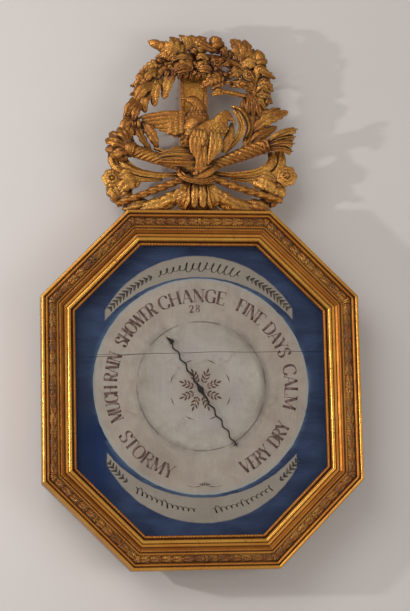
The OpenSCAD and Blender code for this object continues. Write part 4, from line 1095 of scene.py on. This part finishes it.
# Carved rounds of a rail: how far in from the outer edge, depth of the centre, and radius
BAND_ROUND = (18.9, RAIL_FRONT - 12.4, 7.0)
ROPE = (33.2, RAIL_FRONT - 12.0, 2.0)
SIGHT = (RAIL_W - 2.6, RAIL_FRONT - 23.0, 2.4)


def rail_ends(k, inset):
    """Places along side k where its mitres are, at a distance in from the outer edge."""
    lean = CORNER + inset * math.tan(math.pi / 8)
    x1, z1, x2, z2 = FRAME_SIDE - lean, FRAME_TOP - inset, FRAME_SIDE - inset, FRAME_TOP - lean
    corners = [(-x1, z1), (x1, z1), (x2, z2), (x2, -z2), (x1, -z1), (-x1, -z1), (-x2, -z2), (-x2, z2)]
    return corners[k], corners[(k + 1) % 8]


def on_rail(k, place, inset, angle, r, depth):
    """Point on a round of side k, at a place from -1 to 1 along it and an angle round it."""
    a, b = (np.array(p) for p in rail_ends(k, inset))
    out = np.array([math.sin(k * math.pi / 4), math.cos(k * math.pi / 4)])
    x, z = (a + b) / 2 + (b - a) / 2 * place - out * r * math.sin(angle)
    return (x, z, depth + r * math.cos(angle))


def carve_band():
    """Acanthus leaves round the widest round, that overlap towards a ribbon in the middle of each rail."""
    c = Carving()
    inset, depth, r = BAND_ROUND
    for k in range(8):
        a, b = (np.array(p) for p in rail_ends(k, inset))
        half = np.linalg.norm(b - a) / 2
        count = max(3, round((half - 4) / 21))
        pitch = (half - 4) / count
        for s in (-1, 1):
            for i in range(count):
                start = half - 1 - i * pitch

                def leaf(shift, length, turn, width, lobes, lift, vein, arch):
                    places = [(start - shift - length * t) / half for t in (0, 0.5, 1)]
                    lifts = (r - arch - 0.8 + lift, r - arch + 0.9 + lift, r - arch + 1.6 + lift)
                    line = [on_rail(k, s * u, inset, turn, q, depth) for u, q in zip(places, lifts)]
                    bank = math.degrees(turn) * -s + rng.uniform(-4, 4)
                    c.leaf(line, width, lobes, 0.42, arch, vein, thick=1.8, bank=bank, blunt=0.75)

                leaf(0.0, pitch * 1.28, 0.0, 8.6, 6, 0.2, 0.85, 4.4)
                for turn in (-0.95, 0.95):
                    leaf(pitch * 0.55, pitch * 0.62, turn, 3.3, 3, 0.4, 0.5, 1.0)
                leaf(pitch * 0.62, pitch * 0.5, 0.0, 2.6, 2, 1.1, 0.5, 1.0)
        for place in (-0.985, 0.0, 0.985):
            for slant in (-4, 4):
                turns = np.linspace(-1, 1, 9)
                band = [on_rail(k, place + slant * t / half, inset, 1.45 * t, r + 1.7, depth) for t in turns]
                c.wrap(band, 1.5, inset, k)
    c.build("carved_band", BAND, slot="gilt_moulding", lift=0)


def carve_beads():
    """Pearls along the sight edge and fine beads on the thin round."""
    c = Carving()
    for (inset, depth, r), pitch, grow in ((SIGHT, 5.3, 0.35), (ROPE, 4.0, 0.15)):
        for k in range(8):
            a, b = (np.array(p) for p in rail_ends(k, inset))
            length = np.linalg.norm(b - a)
            count = int((length - 2) / pitch)
            for i in range(count):
                place = (2 * i + 1 - count) * pitch / length
                x, z, d = on_rail(k, place, inset, 0, 0.5, depth)
                c.pearl((x, z, d), r + grow, 7)
    c.build("carved_pearls", PEARLS, slot="gilt_moulding", lift=0)


# Marks on the dial: painted with a thin body of paint

# Capitals and numbers in hundredths of their height. Each has its width and its strokes: k thick, t thin and
# a thick where it runs upright. After s stand the places of the serifs. An underscore is a space.
LETTERS = """
A 86, t 6 0 43 100, k 43 100 78 0, t 17 33 66 33, s 6 0 78 0
C 80, a 74 78 62 97 42 100 16 86 6 50 16 14 42 0 62 4 76 26, t 74 98 74 70
D 86, k 16 0 16 100, a 16 100 45 99 74 80 80 50 74 20 45 1 16 0, s 12 0 12 100
E 72, k 16 0 16 100, t 16 100 64 100 65 80, t 16 52 50 52, t 16 0 66 0 67 22, s 12 0 12 100
F 68, k 16 0 16 100, t 16 100 64 100 65 80, t 16 52 50 52, s 16 0 12 100
G 84, a 74 78 62 97 42 100 16 86 6 50 16 14 42 0 62 3 72 10, k 72 2 72 42, t 74 98 74 70, s 72 42
H 94, k 16 0 16 100, k 78 0 78 100, t 16 52 78 52, s 16 0 16 100 78 0 78 100
I 36, k 18 0 18 100, s 18 0 18 100
L 68, k 16 0 16 100, t 16 0 62 0 64 24, s 12 0 16 100
M 106, t 14 0 14 100, k 14 100 52 8, t 52 8 90 100, k 90 100 90 0, s 14 0 10 100 90 0 94 100
N 92, t 14 0 14 100, k 14 100 78 0, t 78 0 78 100, s 14 0 10 100 78 100
O 88, a 44 100 16 86 6 50 16 14 44 0 72 14 82 50 72 86 44 100
R 84, k 16 0 16 100, a 16 100 48 100 66 88 66 64 48 52 16 50, k 44 50 76 0, s 16 0 12 100 78 0
S 66, a 56 76 50 95 32 100 12 88 12 66 34 52 56 36 56 12 36 0 14 5 8 26, t 56 98 56 74, t 8 0 8 26
T 78, k 38 0 38 100, t 5 78 6 100 70 100 71 78, s 38 0
U 90, a 16 100 16 30 28 4 46 0 66 6 76 30, t 76 28 76 100, s 16 100 76 100
V 84, k 6 100 42 0, t 42 0 78 100, s 8 100 76 100
W 116, k 6 100 34 0, t 34 0 58 100, k 58 100 84 0, t 84 0 110 100, s 8 100 58 100 108 100
Y 82, k 6 100 40 46, t 40 46 74 100, k 40 0 40 48, s 40 0 8 100 72 100
2 62, a 10 74 20 96 38 98 54 80 48 55 26 28 8 2, k 8 5 40 3 58 12
8 62, a 30 54 12 70 14 90 30 100 46 90 48 70 30 54 10 36 10 12 30 0 50 12 50 36 30 54
_ 42
"""


def read_letters():
    """Width, strokes and serifs of each letter."""
    letters = {}
    for line in LETTERS.strip().splitlines():
        name, *strokes = line.split(", ")
        strokes = [stroke.split() for stroke in strokes]
        strokes = [(s[0], [(int(x) / 100, int(y) / 100) for x, y in zip(s[1::2], s[2::2])]) for s in strokes]
        serifs = [place for kind, places in strokes if kind == "s" for place in places]
        letters[name[0]] = (int(name[2:]) / 100, [s for s in strokes if s[0] != "s"], serifs)
    return letters


ALPHABET = read_letters()


class Marks(Carving):
    """Flat painted lines on the dial."""

    def line(self, points, width, count):
        flat = smooth_line([(x, z, DIAL_FRONT) for x, z in points], count)
        ahead = unit(np.gradient(flat, axis=0))
        side = np.column_stack([-ahead[:, 1], ahead[:, 0], np.zeros(count)])
        half = np.asarray(width(ahead) if callable(width) else along(width, count)) / 2
        grid = np.stack([flat + side * half[:, None], flat - side * half[:, None]], axis=1)
        self.slab(grid + [0, 0, 0.12], grid - [0, 0, 0.05])

    def petal(self, start, tip, half, bend=0.0):
        """Pointed leaf from start to tip, bent to its left."""
        a, b = np.array(start, float), np.array(tip, float)
        across = np.array([a[1] - b[1], b[0] - a[0]]) * bend
        self.line([a, (a + b) / 2 + across, b], [0.3, 1.5 * half, 2 * half, 1.5 * half, 0.2], 9)

    def word(self, text, centre, spread, foot=149, height=23, outward=True):
        """Word on an arc, centred on an angle clockwise from the top and spread over another, in degrees."""
        width = sum(ALPHABET[ch][0] for ch in text)
        middle = foot + height / 2
        span = math.radians(spread) * middle
        scale_x = min(span / width, height * 1.02)
        extra = (span - scale_x * width) / len(text)
        place = -span / 2
        thick, thin = 0.2 * height, 0.055 * height
        for ch in text:
            wide, strokes, serifs = ALPHABET[ch]
            place += extra / 2

            def put(x, y, start=place):
                u, r = start + x * scale_x, foot + y * height
                if not outward:
                    u, r = -u, foot + height - y * height
                angle = math.radians(centre) + u / middle
                return (DISC[0] + r * math.sin(angle), DISC[1] + r * math.cos(angle))

            for kind, points in strokes:
                if kind == "a":
                    flat = smooth_line([(x, y, 0) for x, y in points], 26)
                    run = unit(np.gradient(flat, axis=0))
                    widths = thin + (thick - thin) * np.abs(run[:, 1]) ** 1.6
                    self.line([put(x, y) for x, y, _ in flat], widths, 26)
                else:
                    for a, b in zip(points, points[1:]):
                        mark = [(a[0] + (b[0] - a[0]) * t, a[1] + (b[1] - a[1]) * t) for t in (0, 0.5, 1)]
                        self.line([put(*p) for p in mark], thick if kind == "k" else thin, 4)
            for x, y in serifs:
                inward = 0.012 if y < 0.5 else -0.012
                self.line([put(x + t, y + inward) for t in (-0.13, 0, 0.13)], thin * 0.8, 4)
            place += wide * scale_x + extra / 2


def mark_dial():
    paint = dict(slot="dial_paint", lift=0)
    letters = Marks()
    letters.word("CHANGE", -5, 44)
    letters.word("FINE_DAYS", 48, 46)
    letters.word("CALM", 91, 29)
    letters.word("VERY_DRY", 134.5, 41, outward=False)
    letters.word("STORMY", 219, 41, outward=False)
    letters.word("MUCH_RAIN", 269.5, 44)
    letters.word("SHOWER", 313.5, 33)
    letters.word("28", -4, 9.5, 131, 13)
    letters.build("dial_lettering", INK, **paint)
    rose = Marks()
    for k in range(8):
        angle = math.radians(22.5 + 45 * k)
        ray = np.array([math.sin(angle), math.cos(angle)])
        side = np.array([ray[1], -ray[0]])
        rose.line([ray * 11, ray * 33], [0.5, 1.0, 0.4], 6)
        for r, reach in ((14, 7.5), (20, 9.5), (27, 8.5)):
            for s in (-1, 1):
                rose.petal(ray * r, ray * (r + reach * 0.8) + side * s * reach * 0.75, 1.7, -0.1 * s)
        rose.petal(ray * 31, ray * 41, 1.9)
        rose.line([ray * 54 + side * t + ray * -0.012 * t * t for t in (-8, 0, 8)], [0.3, 1.9, 0.3], 9)
    rose.build("dial_rosette", SPRIG, **paint)
    sprigs = Marks()

    def sprig(circle, start, end, pairs, size):
        cx, cz, r = circle
        for i in range(pairs):
            angle = math.radians(start + (end - start) * i / pairs)
            step = math.radians((end - start) / pairs)
            p = np.array([cx + r * math.sin(angle), cz + r * math.cos(angle)])
            q = np.array([cx + r * math.sin(angle + step), cz + r * math.cos(angle + step)])
            sprigs.line([p, q], 0.7, 3)
            run = (q - p) / np.linalg.norm(q - p)
            across = np.array([-run[1], run[0]])
            for s in (-1, 1):
                length = size * (1 - 0.3 * abs(2 * i / pairs - 1))
                sprigs.petal(p, p + run * length * 0.8 + across * s * length * 0.62, 1.9, -0.1 * s)

    upper = (2.0, 13.0, 206.0)
    sprig(upper, 24, 51, 12, 13.0)
    sprig(upper, -24, -51.5, 12, 13.0)
    lower = (3.0, -6.0, 204.5)
    sprig(lower, 139, 125, 6, 12.0)
    sprig(lower, 221, 235, 6, 12.0)

    def flourish(circle, start, end, loops, size):
        """Row of pen loops, some of them taller."""
        cx, cz, r = circle
        heights = rng.choice([0.75, 0.85, 1.0, 1.7], loops + 2)
        points = []
        for i in range(loops * 10 + 1):
            t = i / (loops * 10)
            swing = 2 * math.pi * loops * t
            tall = heights[int(swing / (2 * math.pi) + 0.5)]
            up = size * tall * -math.cos(swing)
            step = size * 0.62 * math.sin(swing) + 0.35 * up
            angle = math.radians(start + (end - start) * t) + step / r * (1 if end > start else -1)
            points.append((cx + (r + up) * math.sin(angle), cz + (r + up) * math.cos(angle)))
        sprigs.line(points, lambda run: 0.7 + 1.7 * np.abs(run[:, 1]) ** 1.5, loops * 30)

    flourish(upper, -21, 21, 13, 5.0)
    flourish(lower, 216, 184, 12, 3.6)
    flourish(lower, 176, 144, 12, 3.6)
    for k in range(5):
        sprigs.petal((4 + (k - 2) * 1.5, -168), (4 + (k - 2) * 5.0, -161 - abs(k - 2) * 1.6), 1.1)
    for s in (-1, 1):
        sprigs.line([(4 + s * 8, -169), (4 + s * 20, -170), (4 + s * 33, -167)], [1.2, 0.8, 0.3], 9)
    # hairline crack under the open joint
    joint = edge("dial_board_lower", 1, 2)
    crack = [(-186, joint - 5), (-160, joint - 4), (-128, joint - 4.6), (-98, joint - 3)]
    sprigs.line(crack, [0.5, 0.8, 0.6, 0.2], 24)
    sprigs.build("dial_sprigs", GREY_INK, **paint)


carve_band()
carve_beads()
mark_dial()


# Wall, floor, light and camera


def plain(name, colour, rough):
    p = Paint(name)
    shade = p.ramp(p.noise(1.4, 3.0), (0.3, [v * 0.96 for v in colour[:3]] + [1]), (0.7, colour))
    p.set(Base_Color=shade, Roughness=rough)
    return p


def sheet(name, corners, material):
    mesh = bpy.data.meshes.new(name)
    mesh.from_pydata(corners, [], [(0, 1, 2, 3)])
    mesh.materials.append(material)
    piece = bpy.data.objects.new(name, mesh)
    bpy.context.scene.collection.objects.link(piece)
    return piece


def make_room():
    """Pale floor, and a pale wall that the camera sees from the front only."""
    p = plain("wall_paint", srgb(206, 201, 198), 0.9)
    behind = p.tree.nodes.new("ShaderNodeNewGeometry").outputs["Backfacing"]
    p.blend(behind, p.shader.outputs[0], p.add("BsdfTransparent"))
    half, low, high, gap = 4.0, -0.9, 3.0, 0.0006
    corners = [(-half, gap, low), (half, gap, low), (half, gap, high), (-half, gap, high)]
    wall = sheet("wall", corners, p.material)
    wall.visible_diffuse = wall.visible_glossy = wall.visible_transmission = wall.visible_shadow = False
    paint = plain("floor_paint", srgb(205, 202, 198), 0.8).material
    sheet("floor", [(-6, -6, low), (6, -6, low), (6, 6, low), (-6, 6, low)], paint)


def lamp(name, place, aim, size, power, colour):
    light = bpy.data.lights.new(name, "AREA")
    light.shape, light.size, light.energy, light.color = "SQUARE", size, power, colour
    holder = bpy.data.objects.new(name, light)
    holder.location = place
    holder.rotation_euler = (Vector(aim) - Vector(place)).to_track_quat("-Z", "Y").to_euler()
    bpy.context.scene.collection.objects.link(holder)


def make_light():
    world = bpy.data.worlds.new("studio")
    world.use_nodes = True
    sky = world.node_tree.nodes["Background"]
    sky.inputs["Color"].default_value = (1.0, 0.945, 0.895, 1)
    sky.inputs["Strength"].default_value = 0.41
    bpy.context.scene.world = world
    lamp("window", (-1.8, -2.6, 1.7), (0, 0, 0.1), 2.2, 47, (0.985, 0.99, 1.0))
    lamp("side", (-1.7, -0.85, 0.12), (0, 0, 0.25), 0.07, 14, (1.0, 0.985, 0.97))
    lamp("fill", (1.9, -2.2, -0.8), (0.2, 0, -0.3), 1.8, 27, (0.96, 0.975, 1.0))


# The camera stands left of the barometer and a little below it
CAMERA_PLACE = (-0.5007, -3.4, -0.389)
CAMERA_PITCH, CAMERA_YAW, CAMERA_ROLL = 0.1575, 0.1515, -0.0218
FOCAL_PX, LONG_SIDE_PX, SENSOR_MM = 1943.8, 611, 36.0


def make_camera():
    camera = bpy.data.cameras.new("camera")
    camera.sensor_width = SENSOR_MM
    camera.lens = FOCAL_PX * SENSOR_MM / LONG_SIDE_PX
    holder = bpy.data.objects.new("camera", camera)
    bpy.context.scene.collection.objects.link(holder)
    ahead = Vector((
        math.sin(CAMERA_YAW) * math.cos(CAMERA_PITCH),
        math.cos(CAMERA_YAW) * math.cos(CAMERA_PITCH),
        math.sin(CAMERA_PITCH),
    ))
    level = Vector((math.cos(CAMERA_YAW), -math.sin(CAMERA_YAW), 0))
    above = level.cross(ahead)
    right = level * math.cos(CAMERA_ROLL) + above * math.sin(CAMERA_ROLL)
    up = above * math.cos(CAMERA_ROLL) - level * math.sin(CAMERA_ROLL)
    turn = Matrix((right, up, -ahead)).transposed().to_4x4()
    holder.matrix_world = Matrix.Translation(CAMERA_PLACE) @ turn
    bpy.context.scene.camera = holder


make_room()
make_light()
make_camera()
bpy.context.scene.view_settings.view_transform = "Standard"
